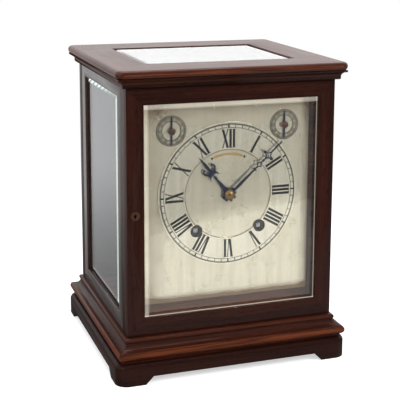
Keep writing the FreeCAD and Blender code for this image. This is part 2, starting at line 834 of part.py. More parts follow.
# seat board on two legs, and the frame that the dial rests against
legs = []
for side in (-1, 1):
    leg_sides = ("(seat_leg_out - seat_leg_thick) * %d" % side, "seat_leg_out * %d" % side)
    low_x, high_x = sorted(leg_sides, key=num)
    legs.append(box("seat_leg", (low_x, "seat_gap + surround_thick - dial_back", "body_z"),
                    (high_x, "seat_back", "seat_low")))
seat = box("seat", ("seat_gap - side_in", "seat_gap + surround_thick - dial_back", "seat_low"),
           ("side_in - seat_gap", "seat_back", "seat_top"))
keep(group("seat_group", [seat] + legs), "seat_board")
keep(slab("surround", "XZ_Plane", [("dial_back - surround_thick", "dial_back", [
    oblong("-side_in", "body_z", "side_in", "cove_z"),
    oblong("surround_wide - side_in", "light_low + surround_wide",
           "side_in - surround_wide", "light_high - surround_wide")])]), "dial_surround")

# dial: a plate on four feet, a chapter ring and two subsidiary rings
wind_spots = [("0 - winding_out", "wind_z"), ("winding_out", "wind_z")]
subdial_spots = [("0 - subdial_out", "dial_height + subdial_up"),
                 ("subdial_out", "dial_height + subdial_up")]
dial_front = "-dial_y - ring_thick - over"
dial_through = "dial_thick + ring_thick + over * 2"
wind_holes = [rod("wind_hole", "y", (x, dial_front, z), "winding_hole", dial_through)
              for x, z in wind_spots]
sub_holes = [rod("sub_hole", "y", (x, dial_front, z), "subdial_hole", dial_through)
             for x, z in subdial_spots]
centre_hole = rod("centre_hole", "y", ("0", dial_front, "dial_height"), "dial_hole", dial_through)
sheet_metal = box("dial_sheet", ("-dial_wide / 2", "-dial_y", "dial_bottom"),
                  ("dial_wide / 2", "-dial_back", "dial_top"))
feet = [rod("dial_foot", "y", ("foot_out * %d" % side, "-dial_back", "dial_height + foot_up * %d" % up),
            "foot_radius", "dial_back - front_plate_face") for side in (-1, 1) for up in (-1, 1)]
keep(cut("dial", join("dial_whole", [sheet_metal] + feet), wind_holes + sub_holes + [centre_hole]),
     "dial_plate")
ring = cut("ring_blank",
           rod("ring_disc", "y", ("0", "-hand_y", "dial_height"), "ring_outer", "ring_thick"),
           [rod("ring_eye", "y", ("0", dial_front, "dial_height"), "ring_inner", dial_through)])
keep(cut("ring", ring, wind_holes), "chapter_ring")
sub_rings = []
for x, z in subdial_spots:
    disc = rod("sub_disc", "y", (x, "-dial_y - subdial_thick", z), "subdial_outer", "subdial_thick")
    eye = rod("sub_eye", "y", (x, dial_front, z), "subdial_inner", dial_through)
    sub_rings.append(cut("sub_ring", disc, [eye]))
keep(group("sub_ring_group", sub_rings), "subdial_rings")


# trains: where each arbor stands, in X and Z from the dial's centre
def meet(first, first_reach, second, second_reach, side):
    """The place at two distances from two others, on one side of the line between them."""
    line = (second[0] - first[0], second[1] - first[1])
    apart = math.hypot(*line)
    along = (first_reach ** 2 - second_reach ** 2 + apart ** 2) / (2 * apart)
    off = math.sqrt(first_reach ** 2 - along ** 2) * side
    ahead = (line[0] / apart, line[1] / apart)
    return (first[0] + ahead[0] * along - ahead[1] * off, first[1] + ahead[1] * along + ahead[0] * off)


centre = (0, 0)
going = (num("winding_out"), -num("winding_drop"))
strike = (-going[0], going[1])
first_spot = meet(centre, num("first_reach"), going, num("barrel_reach"), 1)
pin_spot = (-first_spot[0], first_spot[1])
swing_spot = (0, num("swing_height - dial_height"))
pallet_half = math.radians(num("anchor_span * 180 / escape_teeth"))
escape_spot = (0, num("escape_rise"))
third_spot = meet(centre, num("train_reach"), escape_spot, num("train_reach"), -1)
fly_spot = meet(pin_spot, num("fly_reach"), strike, math.hypot(*strike), -1)
motion_spot = (0, -num("motion_reach"))


def toothed(teeth, module, thick, phase):
    """A wheel or pinion: pointed teeth over the pitch circle, straight ones under it."""
    pitch = 2 * math.pi / teeth
    radius = teeth * module / 2
    height_shares = (-1.25, 0, 0.5, 0.85)
    width_shares = (0.2, 0.2, 0.13, 0.04)
    points = []
    for tooth in range(teeth):
        middle = phase + tooth * pitch
        for side in (-1, 1):
            for high, wide in list(zip(height_shares, width_shares))[::-side]:
                reach, angle = radius + high * module, middle + side * wide * pitch
                points.append((reach * math.cos(angle), reach * math.sin(angle)))
    return upright(points, 0, thick)


def crossed(shape, rim, hub, spokes, thick):
    """Opens a wheel between its hub, its rim and its spokes."""
    ring_shape = round_bar(0, 0, rim, 0, thick).cut(round_bar(0, 0, hub, 0, thick))
    wide = num("arbor_radius") * 2
    for spoke in range(spokes):
        arm = Part.makeBox(rim * 2, thick, wide, Vector(0, 0, -wide / 2))
        arm.rotate(Vector(), Vector(0, 1, 0), spoke * 360 / spokes)
        ring_shape = ring_shape.cut(arm)
    return shape.cut(ring_shape)


def mesh_phase(teeth, phase, spot, other_teeth, other_spot):
    """The other wheel's phase that puts its gap on this one's tooth."""
    angle = math.atan2(other_spot[1] - spot[1], other_spot[0] - spot[0])
    share = (angle - phase) * teeth / (2 * math.pi)
    return angle + math.pi - (0.5 - share) * 2 * math.pi / other_teeth


def count(name):
    return int(num(name))


def wheel(name, teeth, module, thick, phase, spot, y, spokes=None):
    shape = toothed(count(teeth), num(module), num(thick), phase)
    if spokes:
        radius = count(teeth) * num(module) / 2
        shape = crossed(shape, radius - num(module) * 3, num("arbor_radius") * 3, count(spokes), num(thick))
    return solid(name, shape, *at(spot, y))


def at(spot, y):
    """An arbor's place: how far it is from the dial's centre, and where along Y."""
    return ("%r" % spot[0], y, "dial_height + %r" % spot[1])


def arbor(name, spot, sections):
    """A turned arbor. Each section is a radius and the two places, front first, as depths."""
    points = steps([(radius, "-(%s)" % front, "-(%s)" % back) for radius, front, back in sections])
    return turned(name, "XY_Plane", points, "%r" % spot[0], "0", "dial_height + %r" % spot[1])


def between_plates(name, spot, radius):
    """An arbor with a pivot in each plate."""
    shoulder = "pivot_gap"
    return arbor(name, spot, [
        ("pivot_radius", "front_plate_face", "front_in - " + shoulder),
        (radius, "front_in - " + shoulder, "back_in + " + shoulder),
        ("pivot_radius", "back_in + " + shoulder, "back_out")])


# phases: each wheel is set from the one that it meshes with
teeth = {name: count(name) for name in (
    "great_teeth", "pinion_teeth", "first_teeth", "train_teeth", "small_leaves", "pin_wheel_teeth",
    "cannon_teeth", "cannon_wheel_teeth", "hour_pinion_teeth", "hour_wheel_teeth")}
first_phase = mesh_phase(teeth["pinion_teeth"], 0, centre, teeth["first_teeth"], first_spot)
great_phase = mesh_phase(teeth["pinion_teeth"], 0, first_spot, teeth["great_teeth"], going)
third_phase = mesh_phase(teeth["train_teeth"], 0, centre, teeth["small_leaves"], third_spot)
leaf_phase = mesh_phase(teeth["train_teeth"], 0, third_spot, teeth["small_leaves"], escape_spot)
strike_phase = mesh_phase(teeth["pinion_teeth"], 0, pin_spot, teeth["great_teeth"], strike)
fly_phase = mesh_phase(teeth["pin_wheel_teeth"], 0, pin_spot, teeth["small_leaves"], fly_spot)
motion_phase = mesh_phase(teeth["cannon_teeth"], 0, centre, teeth["cannon_wheel_teeth"], motion_spot)
hour_phase = mesh_phase(teeth["hour_pinion_teeth"], 0, motion_spot, teeth["hour_wheel_teeth"], centre)


# barrels: drum, great wheel and lid turn on the winding arbor, round the mainspring
ratchet_shares = ((1, 0), (0.84, 0.12))


def barrel(train, spot, phase):
    x, z = "%r" % spot[0], "dial_height + %r" % spot[1]
    disc = wheel(train + "_great", "great_teeth", "great_module", "great_thick", phase, spot, "-great_y")
    drum = turned(train + "_drum", "XY_Plane", [
        ("wind_radius", "-drum_y"), ("drum_radius", "-drum_y"), ("drum_radius", "drum_long - drum_y"),
        ("drum_radius - drum_wall", "drum_long - drum_y"), ("drum_radius - drum_wall", "drum_wall - drum_y"),
        ("wind_radius", "drum_wall - drum_y")], x, "0", z)
    bore = rod(train + "_bore", "y", (x, "-great_y - over", z), "wind_radius + pivot_gap", "drum_long")
    lid = turned(train + "_lid", "XY_Plane", [
        ("wind_radius + pivot_gap", "drum_long - drum_lid - drum_y"),
        ("drum_radius - drum_wall - lid_gap", "drum_long - drum_lid - drum_y"),
        ("drum_radius - drum_wall - lid_gap", "drum_long - drum_y"),
        ("wind_radius + pivot_gap", "drum_long - drum_y")], x, "0", z)
    body = cut(train + "_bored", join(train + "_body", [disc, drum]), [bore])
    keep(group(train + "_barrel_group", [body, lid]), train + "_barrel")
    keep(turned(train + "_spring", "XY_Plane", [
        ("spring_core", "drum_wall + spring_gap - drum_y"),
        ("drum_radius - drum_wall - lid_gap", "drum_wall + spring_gap - drum_y"),
        ("drum_radius - drum_wall - lid_gap", "drum_long - drum_lid - spring_gap - drum_y"),
        ("spring_core", "drum_long - drum_lid - spring_gap - drum_y")], x, "0", z), train + "_mainspring")
    shaft = arbor(train + "_shaft", spot, [
        ("wind_pivot", "front_plate_face + ratchet_thick + pin_gap * 2", "front_in - pivot_gap"),
        ("wind_radius", "front_in - pivot_gap", "back_in + pivot_gap"),
        ("wind_pivot", "back_in + pivot_gap", "back_out")])
    square = box(train + "_square", (x + " - wind_square / 2", "-wind_front", z + " - wind_square / 2"),
                 (x + " + wind_square / 2", "-front_plate_face - pin_gap", z + " + wind_square / 2"))
    number = count("ratchet_teeth")
    points = []
    for tooth in range(number):
        for share, angle_share in ratchet_shares:
            angle = (tooth + angle_share) * 2 * math.pi / number
            reach = num("ratchet_radius") * share
            points.append((reach * math.cos(angle), reach * math.sin(angle)))
    ratchet = solid(train + "_ratchet", upright(points, 0, num("ratchet_thick")),
                    x, "-front_plate_face - ratchet_thick - pin_gap", z)
    keep(join(train + "_wind_group", [shaft, square, ratchet]), train + "_winding_arbor")


barrel("going", going, great_phase)
barrel("strike", strike, strike_phase)

# going train
keep(join("first_group", [
    between_plates("first_arbor", first_spot, "arbor_radius"),
    wheel("first_pinion", "pinion_teeth", "great_module", "great_thick + pinion_over", 0, first_spot,
          "-great_y - pinion_over / 2"),
    wheel("first_disc", "first_teeth", "first_module", "wheel_thick", first_phase, first_spot,
          "first_set - front_in", "wheel_spokes"),
]), "intermediate_wheel")
keep(join("centre_group", [
    arbor("centre_shaft", centre, [
        ("arbor_radius", "boss_y + boss_long / 2", "front_in - centre_set - wheel_thick * 2"),
        ("thin_radius", "front_in - centre_set - wheel_thick * 2", "back_in + pivot_gap"),
        ("pivot_radius", "back_in + pivot_gap", "back_out")]),
    wheel("centre_pinion", "pinion_teeth", "first_module", "wheel_thick + pinion_over", 0, centre,
          "first_set - front_in - pinion_over / 2"),
    wheel("centre_disc", "train_teeth", "train_module", "wheel_thick", 0, centre, "centre_set - front_in",
          "wheel_spokes"),
]), "centre_wheel")
keep(join("third_group", [
    between_plates("third_arbor", third_spot, "thin_radius"),
    wheel("third_pinion", "small_leaves", "train_module", "wheel_thick + pinion_over", third_phase,
          third_spot, "centre_set - front_in - pinion_over / 2"),
    wheel("third_disc", "train_teeth", "train_module", "wheel_thick", 0, third_spot,
          "third_set - front_in", "wheel_spokes"),
]), "third_wheel")

# escape wheel: slim raked teeth, set so that the pallets stand over two gaps
escape_number = count("escape_teeth")
escape_step = 2 * math.pi / escape_number
escape_shares = ((1, -0.3), (0, 0), (0, 0.06), (1, 0.16))
escape_points = []
for tooth in range(escape_number):
    middle = math.pi / 2 - pallet_half - escape_step / 4 + tooth * escape_step
    for drop, angle_share in escape_shares:
        reach = num("escape_radius") - drop * num("escape_drop")
        angle = middle + angle_share * escape_step
        escape_points.append((reach * math.cos(angle), reach * math.sin(angle)))
escape_disc = crossed(upright(escape_points, 0, num("wheel_thick")), num("escape_radius - escape_drop * 1.5"),
                      num("arbor_radius * 2"), count("light_spokes"), num("wheel_thick"))
keep(join("escape_group", [
    between_plates("escape_arbor", escape_spot, "thin_radius"),
    wheel("escape_pinion", "small_leaves", "train_module", "wheel_thick + pinion_over", leaf_phase,
          escape_spot, "third_set - front_in - pinion_over / 2"),
    solid("escape_disc", escape_disc, *at(escape_spot, "escape_set - front_in")),
]), "escape_wheel")

# anchor: two arms down to pallets that hang over the wheel's gaps, and the crutch
anchor_low, anchor_high = 0, num("anchor_thick")
arm_end_share = 0.5
pallet_reach = num("escape_radius") * math.tan(pallet_half)
anchor_shape = round_bar(0, 0, num("anchor_arm"), anchor_low, anchor_high)
for side in (-1, 1):
    tip_angle = pallet_half * side
    out = Vector(math.sin(tip_angle), 0, math.cos(tip_angle))
    tip = out * num("escape_radius + pallet_gap") + Vector(0, 0, -num("anchor_reach"))
    shoulder = tip + out * num("pallet_long")
    across = Vector(out.z, 0, -out.x) * num("pallet_wide") / 2
    pallet = [tip - across, tip + across, shoulder + across, shoulder - across]
    half_arm = num("anchor_arm") / 2
    reach = shoulder.normalize() * (pallet_reach + num("pallet_long") / 2)
    along = Vector(shoulder.z, 0, -shoulder.x) * half_arm
    arm_end = along * arm_end_share
    arm = [along, reach + arm_end, reach - arm_end, along * -1]
    for corners in (pallet, arm):
        flat = [(corner.x, corner.z) for corner in corners]
        anchor_shape = anchor_shape.fuse(upright(flat, anchor_low, anchor_high))
swing_z = "swing_height"
crutch_y = "(cock_thick / 4 - back_out)"
keep(join("anchor_group", [
    arbor("anchor_arbor", swing_spot, [
        ("pivot_radius", "front_plate_face", "front_in - pivot_gap"),
        ("thin_radius", "front_in - pivot_gap", "back_in + pivot_gap"),
        ("pivot_radius", "back_in + pivot_gap", "back_out - cock_thick / 4 - crutch_thick")]),
    solid("anchor_body", anchor_shape.removeSplitter(), *at(swing_spot, "escape_set - front_in")),
    box("crutch", ("-crutch_wide / 2", crutch_y, swing_z + " - crutch_long"),
        ("crutch_wide / 2", crutch_y + " + crutch_thick", swing_z + " + crutch_wide / 2")),
    box("fork_left", ("-rod_radius - fork_gap - crutch_wide / 2", crutch_y, swing_z + " - crutch_long"),
        ("-rod_radius - fork_gap", crutch_y + " + fork_long", swing_z + " - crutch_long + crutch_wide")),
    box("fork_right", ("rod_radius + fork_gap", crutch_y, swing_z + " - crutch_long"),
        ("rod_radius + fork_gap + crutch_wide / 2", crutch_y + " + fork_long",
         swing_z + " - crutch_long + crutch_wide")),
    box("fork_back", ("-rod_radius - fork_gap - crutch_wide / 2", crutch_y, swing_z + " - crutch_long"),
        ("rod_radius + fork_gap + crutch_wide / 2", crutch_y + " + crutch_thick",
         swing_z + " - crutch_long + crutch_wide")),
]), "anchor")

# strike train: pin wheel and fly
pin_ring = num("pin_wheel_teeth * pin_wheel_module / 2") - num("pin_wheel_module") * 4
pin_disc = crossed(toothed(teeth["pin_wheel_teeth"], num("pin_wheel_module"), num("wheel_thick"), 0),
                   pin_ring - num("pin_radius") * 2, num("arbor_radius") * 3, count("light_spokes"),
                   num("wheel_thick"))
for pin in range(count("pin_count")):
    angle = pin * 2 * math.pi / count("pin_count")
    pin_disc = pin_disc.fuse(round_bar(pin_ring * math.cos(angle), pin_ring * math.sin(angle),
                                       num("pin_radius"), -num("pin_long"), num("wheel_thick")))
keep(join("pin_group", [
    between_plates("pin_arbor", pin_spot, "arbor_radius"),
    wheel("pin_pinion", "pinion_teeth", "great_module", "great_thick + pinion_over", 0, pin_spot,
          "-great_y - pinion_over / 2"),
    solid("pin_disc", pin_disc.removeSplitter(), *at(pin_spot, "pin_wheel_set - front_in")),
]), "pin_wheel")
fly_x, fly_z = "%r" % fly_spot[0], "dial_height + %r" % fly_spot[1]
keep(join("fly_group", [
    between_plates("fly_arbor", fly_spot, "thin_radius"),
    wheel("fly_pinion", "small_leaves", "pin_wheel_module", "wheel_thick + pinion_over", fly_phase,
          fly_spot, "pin_wheel_set - front_in - pinion_over / 2"),
    rod("fly_hub", "y", (fly_x, "fly_set - front_in", fly_z), "fly_hub", "fly_long"),
    box("fly_vane", (fly_x + " - fly_radius", "fly_set - front_in", fly_z + " - fly_thick / 2"),
        (fly_x + " + fly_radius", "fly_set + fly_long - front_in", fly_z + " + fly_thick / 2")),
]), "fly")

# motion work, between the front plate and the dial
cannon_front = "minute_hand_y + hand_thick"
cannon_bore = rod("cannon_bore", "y", ("0", "-boss_y - over", "dial_height"), "arbor_radius + pipe_gap",
                  "boss_y + over - front_plate_face")
keep(cut("cannon_cut", join("cannon_group", [
    arbor("cannon_pipe", centre, [("cannon_radius", cannon_front, "cannon_y")]),
    wheel("cannon_leaves", "cannon_teeth", "cannon_module", "motion_thick", 0, centre,
          "-cannon_y - motion_thick"),
]), [cannon_bore]), "cannon_pinion")
keep(join("motion_group", [
    arbor("motion_stud", motion_spot, [
        ("arbor_radius", "hour_wheel_y + motion_thick + motion_gap / 2", "front_plate_face + pivot_gap"),
        ("pivot_radius", "front_plate_face + pivot_gap", "front_in")]),
    wheel("motion_disc", "cannon_wheel_teeth", "cannon_module", "motion_thick", motion_phase, motion_spot,
          "-cannon_y - motion_thick"),
    wheel("motion_leaves", "hour_pinion_teeth", "hour_module", "motion_thick", 0, motion_spot,
          "-hour_wheel_y - motion_thick"),
]), "minute_wheel")
hour_bore = rod("hour_bore", "y", ("0", "-minute_hand_y", "dial_height"), "cannon_radius + pipe_gap",
                "minute_hand_y - front_plate_face")
keep(cut("hour_cut", join("hour_group", [
    arbor("hour_pipe", centre, [("hour_pipe_radius", "hour_hand_y + hand_thick", "hour_wheel_y")]),
    wheel("hour_disc", "hour_wheel_teeth", "hour_module", "motion_thick", hour_phase, centre,
          "-hour_wheel_y - motion_thick"),
]), [hour_bore]), "hour_wheel")


# hands: flat outlines up +Z, half of each given in shares of its length, then turned
def mirrored_outline(shares, long):
    half = [(x * long, z * long) for x, z in shares]
    return half + [(-x, z) for x, z in half[::-1]]


def add_discs(shape, shares, long):
    """Round knobs on both sides of a hand: how far out, how far along and the radius."""
    for x, z, radius in shares:
        for side in (-1, 1) if x else (1,):
            shape = shape.fuse(round_bar(side * x * long, z * long, radius * long, 0, thick))
    return shape


def hand(label, shape, bore, angle, y):
    shape = shape.cut(round_bar(0, 0, bore, -thick, thick * 2)).removeSplitter()
    shape.rotate(Vector(), Vector(0, 1, 0), num(angle))
    return keep(solid(label + "_shape", shape, "0", y, "dial_height"), label)


thick = num("hand_thick")
long = num("hour_hand_long")
hour_blade_shares = ((0.075, 0), (0.06, 0.13), (0.039, 0.17), (0.033, 0.29), (0.017, 0.40), (0.03, 0.455),
                     (0.012, 0.50), (0.02, 0.58), (0.05, 0.60), (0.025, 0.66), (0.032, 0.76), (0.02, 0.86),
                     (0.003, 1))
hour_spike_shares = ((0, 0.55), (0.07, 0.52), (0.13, 0.44), (0.09, 0.545), (0.05, 0.60), (0, 0.60))
hour_curl_shares = ((0, 0.56), (0.09, 0.575), (0.15, 0.64), (0.15, 0.70), (0.11, 0.735), (0.075, 0.72),
                    (0.085, 0.70), (0.11, 0.71), (0.125, 0.68), (0.11, 0.645), (0.06, 0.62), (0, 0.64))
hour_shape = round_bar(0, 0, num("hub_radius"), 0, thick)
for shares in (hour_blade_shares, hour_spike_shares, hour_curl_shares):
    hour_shape = hour_shape.fuse(upright(mirrored_outline(shares, long), 0, thick))
hour_shape = add_discs(hour_shape, ((0.09, 0.72, 0.022), (0.072, 0.56, 0.022)), long)
for lobe in range(count("hub_lobes")):
    angle = math.radians(180 + (lobe + 0.5 - count("hub_lobes") / 2) * num("lobe_turn"))
    spot = Vector(math.sin(angle), 0, math.cos(angle)) * num("hub_radius + lobe_radius / 2")
    hour_shape = hour_shape.fuse(round_bar(spot.x, spot.z, num("lobe_radius"), 0, thick))
hand("hour_hand", hour_shape, num("hour_pipe_radius + pipe_gap"), "hour_angle", "-hour_hand_y - hand_thick")

long = num("minute_hand_long")
minute_blade_shares = ((0.016, 0), (0.018, 0.13), (0.020, 0.22), (0.010, 0.43), (0.009, 0.53), (0, 0.53))
minute_neck_shares = ((0.008, 0.60), (0.008, 0.70))
minute_tip_shares = ((0.009, 0.79), (0.0085, 0.85), (0.0095, 1))
loop_shares = ((0, 0.515), (0.014, 0.535), (0.044, 0.563), (0.014, 0.591), (0, 0.61))
loop_eye_shares = ((0, 0.538), (0.01, 0.548), (0.025, 0.563), (0.01, 0.578), (0, 0.59))
star_shares = ((0, 0.672), (0.014, 0.69), (0.028, 0.715), (0.075, 0.725), (0.075, 0.751), (0.028, 0.761),
               (0.014, 0.786), (0, 0.81))
star_eye_shares = ((0, 0.705), (0.018, 0.722), (0.05, 0.738), (0.018, 0.754), (0.008, 0.775), (0, 0.785))
minute_shape = round_bar(0, 0, num("minute_hub"), 0, thick)
for shares in (minute_blade_shares, minute_neck_shares, minute_tip_shares, loop_shares, star_shares):
    minute_shape = minute_shape.fuse(upright(mirrored_outline(shares, long), 0, thick))
for shares in (loop_eye_shares, star_eye_shares):
    minute_shape = minute_shape.cut(upright(mirrored_outline(shares, long), -thick, thick * 2))
knob_shares = ((0.022, 0.476, 0.011), (0, 0.644, 0.016), (0.071, 0.736, 0.02), (0, 0.476, 0.015))
minute_shape = add_discs(minute_shape, knob_shares, long)
hand("minute_hand", minute_shape, num("cannon_radius + pipe_gap"), "minute_angle",
     "-minute_hand_y - hand_thick")

boss_hole = rod("boss_hole", "y", ("0", "-boss_y - boss_long / 2 - pin_gap", "dial_height"),
                "arbor_radius + pipe_gap", "boss_long")
boss = turned("boss_turning", "XY_Plane", [
    ("0", "-boss_long"), ("boss_radius", "-boss_rim", "boss_radius * 1.2", 1),
    ("boss_radius", "0"), ("0", "0")], "0", "-boss_y", "dial_height")
keep(cut("boss_cut", boss, [boss_hole]), "hand_boss")

# subsidiary hands, each on its own short arbor through the dial
for (x, z), label in zip(subdial_spots, ("strike_silent_hand", "slow_fast_hand")):
    hand_low = "-dial_y - subhand_out - hand_thick"
    blade = box(label + "_blade", (x + " - subhand_wide / 2", hand_low, z + " - subhand_long"),
                (x + " + subhand_wide / 2", "-dial_y - subhand_out", z + " + subhand_long"))
    collet = rod(label + "_collet", "y", (x, "-dial_y - subhand_out - hand_thick * 2", z), "subhand_hub",
                 "hand_thick * 2 + subhand_out - subdial_hole / 4")
    stem = rod(label + "_stem", "y", (x, hand_low, z), "subdial_hole - pivot_gap",
               "dial_y + subhand_out - front_in")
    keep(join(label + "_group", [blade, collet, stem]), label)

# movement plates, pillars, and the cock that the pendulum hangs from
arbor_spots = [(first_spot, "pivot_radius"), (third_spot, "pivot_radius"), (escape_spot, "pivot_radius"),
               (pin_spot, "pivot_radius"), (fly_spot, "pivot_radius"), (swing_spot, "pivot_radius"),
               (going, "wind_pivot"), (strike, "wind_pivot")]
hammer_spot = (-num("hammer_out"), num("hammer_height - dial_height"))


def plate_with_holes(name, front, back, holes):
    blank = box(name + "_blank", ("-plate_wide / 2", "-(%s)" % front, "seat_top"),
                ("plate_wide / 2", "-(%s)" % back, "plate_top"))
    drills = [rod(name + "_drill", "y", at(spot, "-(%s) - over" % front), radius + " + pivot_gap",
                  "plate_thick + over * 2") for spot, radius in holes]
    return keep(cut(name + "_drilled", blank, drills), name)


sub_spots = [((num(x), num(z) - num("dial_height")), "subdial_hole - pivot_gap") for x, z in subdial_spots]
front_holes = arbor_spots + [(centre, "arbor_radius"), (motion_spot, "pivot_radius"),
                             (hammer_spot, "pivot_radius")]
plate_with_holes("front_plate", "front_plate_face", "front_in", front_holes + sub_spots)
plate_with_holes("back_plate", "back_in", "back_out",
                 arbor_spots + [(centre, "pivot_radius"), (hammer_spot, "thin_radius")])
pillars = []
for side in (-1, 1):
    for level in ("seat_top + pillar_inset", "plate_top - pillar_inset"):
        pillars.append(turned("pillar", "XY_Plane", [
            ("0", "0"), ("pillar_knob", "0"), ("pillar_knob", "plate_space / 12"),
            ("pillar_radius", "plate_space / 8"), ("pillar_radius", "plate_space * 5 / 12"),
            ("pillar_knob", "plate_space * 11 / 24"), ("pillar_knob", "plate_space * 13 / 24"),
            ("pillar_radius", "plate_space * 7 / 12"), ("pillar_radius", "plate_space * 7 / 8"),
            ("pillar_knob", "plate_space * 11 / 12"), ("pillar_knob", "plate_space"), ("0", "plate_space"),
        ], "pillar_out * %d" % side, "-front_in", level))
keep(group("pillar_group", pillars), "pillars")
cock_z = "(swing_height + cock_lift)"
keep(join("cock_group", [
    box("cock_arm", ("-cock_wide / 2", "-back_out", cock_z), ("cock_wide / 2", "cock_out - back_out",
                                                             cock_z + " + cock_thick")),
    box("cock_pad_left", ("-cock_wide / 2", "-back_out", cock_z + " - cock_foot"),
        ("-cock_wide / 4", "cock_thick / 2 - back_out", cock_z)),
    box("cock_pad_right", ("cock_wide / 4", "-back_out", cock_z + " - cock_foot"),
        ("cock_wide / 2", "cock_thick / 2 - back_out", cock_z)),
]), "pendulum_cock")

# pendulum: spring, rod and nut, and a lens-shaped bob
rod_top = "(swing_height + cock_lift - spring_drop)"
keep(join("rod_group", [
    box("spring_strip", ("-spring_wide / 2", "swing_back - spring_thick / 2", rod_top + " - spring_high"),
        ("spring_wide / 2", "swing_back + spring_thick / 2", rod_top)),
    rod("rod_wire", "z", ("0", "swing_back", "bob_z - rod_below"), "rod_radius",
        rod_top + " - spring_high + over - bob_z + rod_below"),
    rod("rating_nut", "z", ("0", "swing_back", "bob_z - rod_below"), "nut_radius", "nut_high"),
]), "pendulum_rod")
bob_arc = "((bob_radius ^ 2 + (bob_thick / 2 - bob_rim / 2) ^ 2) / (bob_thick - bob_rim))"
bob = turned("bob_turning", "XY_Plane", [
    ("0", "-bob_thick / 2"), ("bob_radius", "-bob_rim / 2", bob_arc, 1), ("bob_radius", "bob_rim / 2"),
    ("0", "bob_thick / 2", bob_arc, 1)], "0", "swing_back", "bob_z")
bob_bore = rod("bob_bore", "z", ("0", "swing_back", "bob_z - bob_radius - over"), "rod_radius + pivot_gap",
               "bob_radius * 2 + over * 2")
keep(cut("bob_bored", bob, [bob_bore]), "pendulum_bob")

# gong: a flat spiral of half turns, held at its inner end by a post on the floor
turn_step = num("gong_pitch") / 2
radius = num("gong_outer")
side = 1
arc_centre = Vector(0, 0, 0)
edges = []
for half_turn in range(count("gong_turns") * 2):
    start = arc_centre + Vector(0, 0, -side * radius)
    end = arc_centre + Vector(0, 0, side * radius)
    edges.append(Part.Arc(start, arc_centre + Vector(radius, 0, 0) * side, end).toShape())
    radius -= turn_step
    arc_centre = arc_centre + Vector(0, 0, side * turn_step)
    side = -side
spiral = Part.Wire(edges)
spiral_start = edges[0].Vertexes[0].Point
section = Part.Wire(Part.makeCircle(num("gong_wire"), spiral_start, Vector(1, 0, 0)))
gong_shape = spiral.makePipeShell([section], True, False)
gong_gap = num("gong_pitch - gong_wire * 2")
print("gong wire's least gap to itself %.2f mm" % gong_gap)
keep(solid("gong_spiral", gong_shape, "0", "gong_back", "gong_height"), "gong")
gong_foot = "(gong_height - gong_outer)"
keep(join("stand_group", [
    box("stand_block", ("-stand_wide / 2", "gong_back - stand_deep / 2", "body_z"),
        ("stand_wide / 2", "gong_back + stand_deep / 2", "body_z + stand_high")),
    rod("stand_post", "z", ("0", "gong_back", "body_z + stand_high - over"), "post_radius",
        gong_foot + " - gong_wire - body_z - stand_high + over"),
]), "gong_stand")

# hammer: an arbor through the plates, an arm down to the gong's side and a head
hammer_x, hammer_z = "(0 - hammer_out)", "hammer_height"
head_z = "(hammer_height - hammer_drop)"
head_left = "(0 - gong_outer - gong_wire - hammer_rest - hammer_head_long)"
keep(join("hammer_group", [
    arbor("hammer_arbor", hammer_spot, [
        ("pivot_radius", "front_plate_face", "front_in - pivot_gap"),
        ("thin_radius", "front_in - pivot_gap", "-gong_back - hammer_arm")]),
    box("hammer_arm", (hammer_x + " - hammer_arm", "gong_back - hammer_arm", head_z + " - hammer_arm"),
        (hammer_x + " + hammer_arm", "gong_back + hammer_arm", hammer_z + " + hammer_arm")),
    rod("hammer_neck", "x", (hammer_x, "gong_back", head_z), "hammer_arm",
        head_left + " + over + hammer_out"),
    rod("hammer_head", "x", (head_left, "gong_back", head_z), "hammer_head", "hammer_head_long"),
]), "gong_hammer")

doc.recompute()
faults = [thing.Name for thing in doc.Objects if "Invalid" in thing.State or "Error" in thing.State]
for node in nodes:
    if node.Shape.isNull() or not node.Shape.isValid() or not node.Shape.Solids:
        faults.append(node.Label)
if faults:
    raise RuntimeError("failed: " + ", ".join(faults))
os.makedirs("parts", exist_ok=True)
for node in nodes:
    node.Shape.exportStep("parts/%s.step" % node.Label)
print("%d nodes written" % len(nodes))
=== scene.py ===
import json
import math
import bmesh
import bpy
from mathutils import Matrix, Vector


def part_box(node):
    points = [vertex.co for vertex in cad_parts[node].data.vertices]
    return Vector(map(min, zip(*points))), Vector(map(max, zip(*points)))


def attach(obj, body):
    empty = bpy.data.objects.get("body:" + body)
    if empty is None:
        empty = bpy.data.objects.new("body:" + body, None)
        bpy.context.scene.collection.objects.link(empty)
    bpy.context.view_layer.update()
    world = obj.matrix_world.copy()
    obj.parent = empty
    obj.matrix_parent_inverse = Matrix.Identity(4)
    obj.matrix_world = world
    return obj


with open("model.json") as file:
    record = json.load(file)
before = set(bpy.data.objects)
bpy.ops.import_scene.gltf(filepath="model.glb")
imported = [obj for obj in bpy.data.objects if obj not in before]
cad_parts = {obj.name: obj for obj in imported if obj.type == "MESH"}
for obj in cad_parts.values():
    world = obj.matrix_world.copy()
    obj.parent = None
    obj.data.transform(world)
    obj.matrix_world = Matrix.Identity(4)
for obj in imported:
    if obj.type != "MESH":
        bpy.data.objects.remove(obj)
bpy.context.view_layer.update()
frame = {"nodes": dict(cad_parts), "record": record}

nodes = frame["nodes"]
mm = 0.001


def tone(red, green, blue):  # a colour as a screen shows it, made linear
    return tuple(((part / 255 + 0.055) / 1.055) ** 2.4 for part in (red, green, blue)) + (1,)


# node graphs

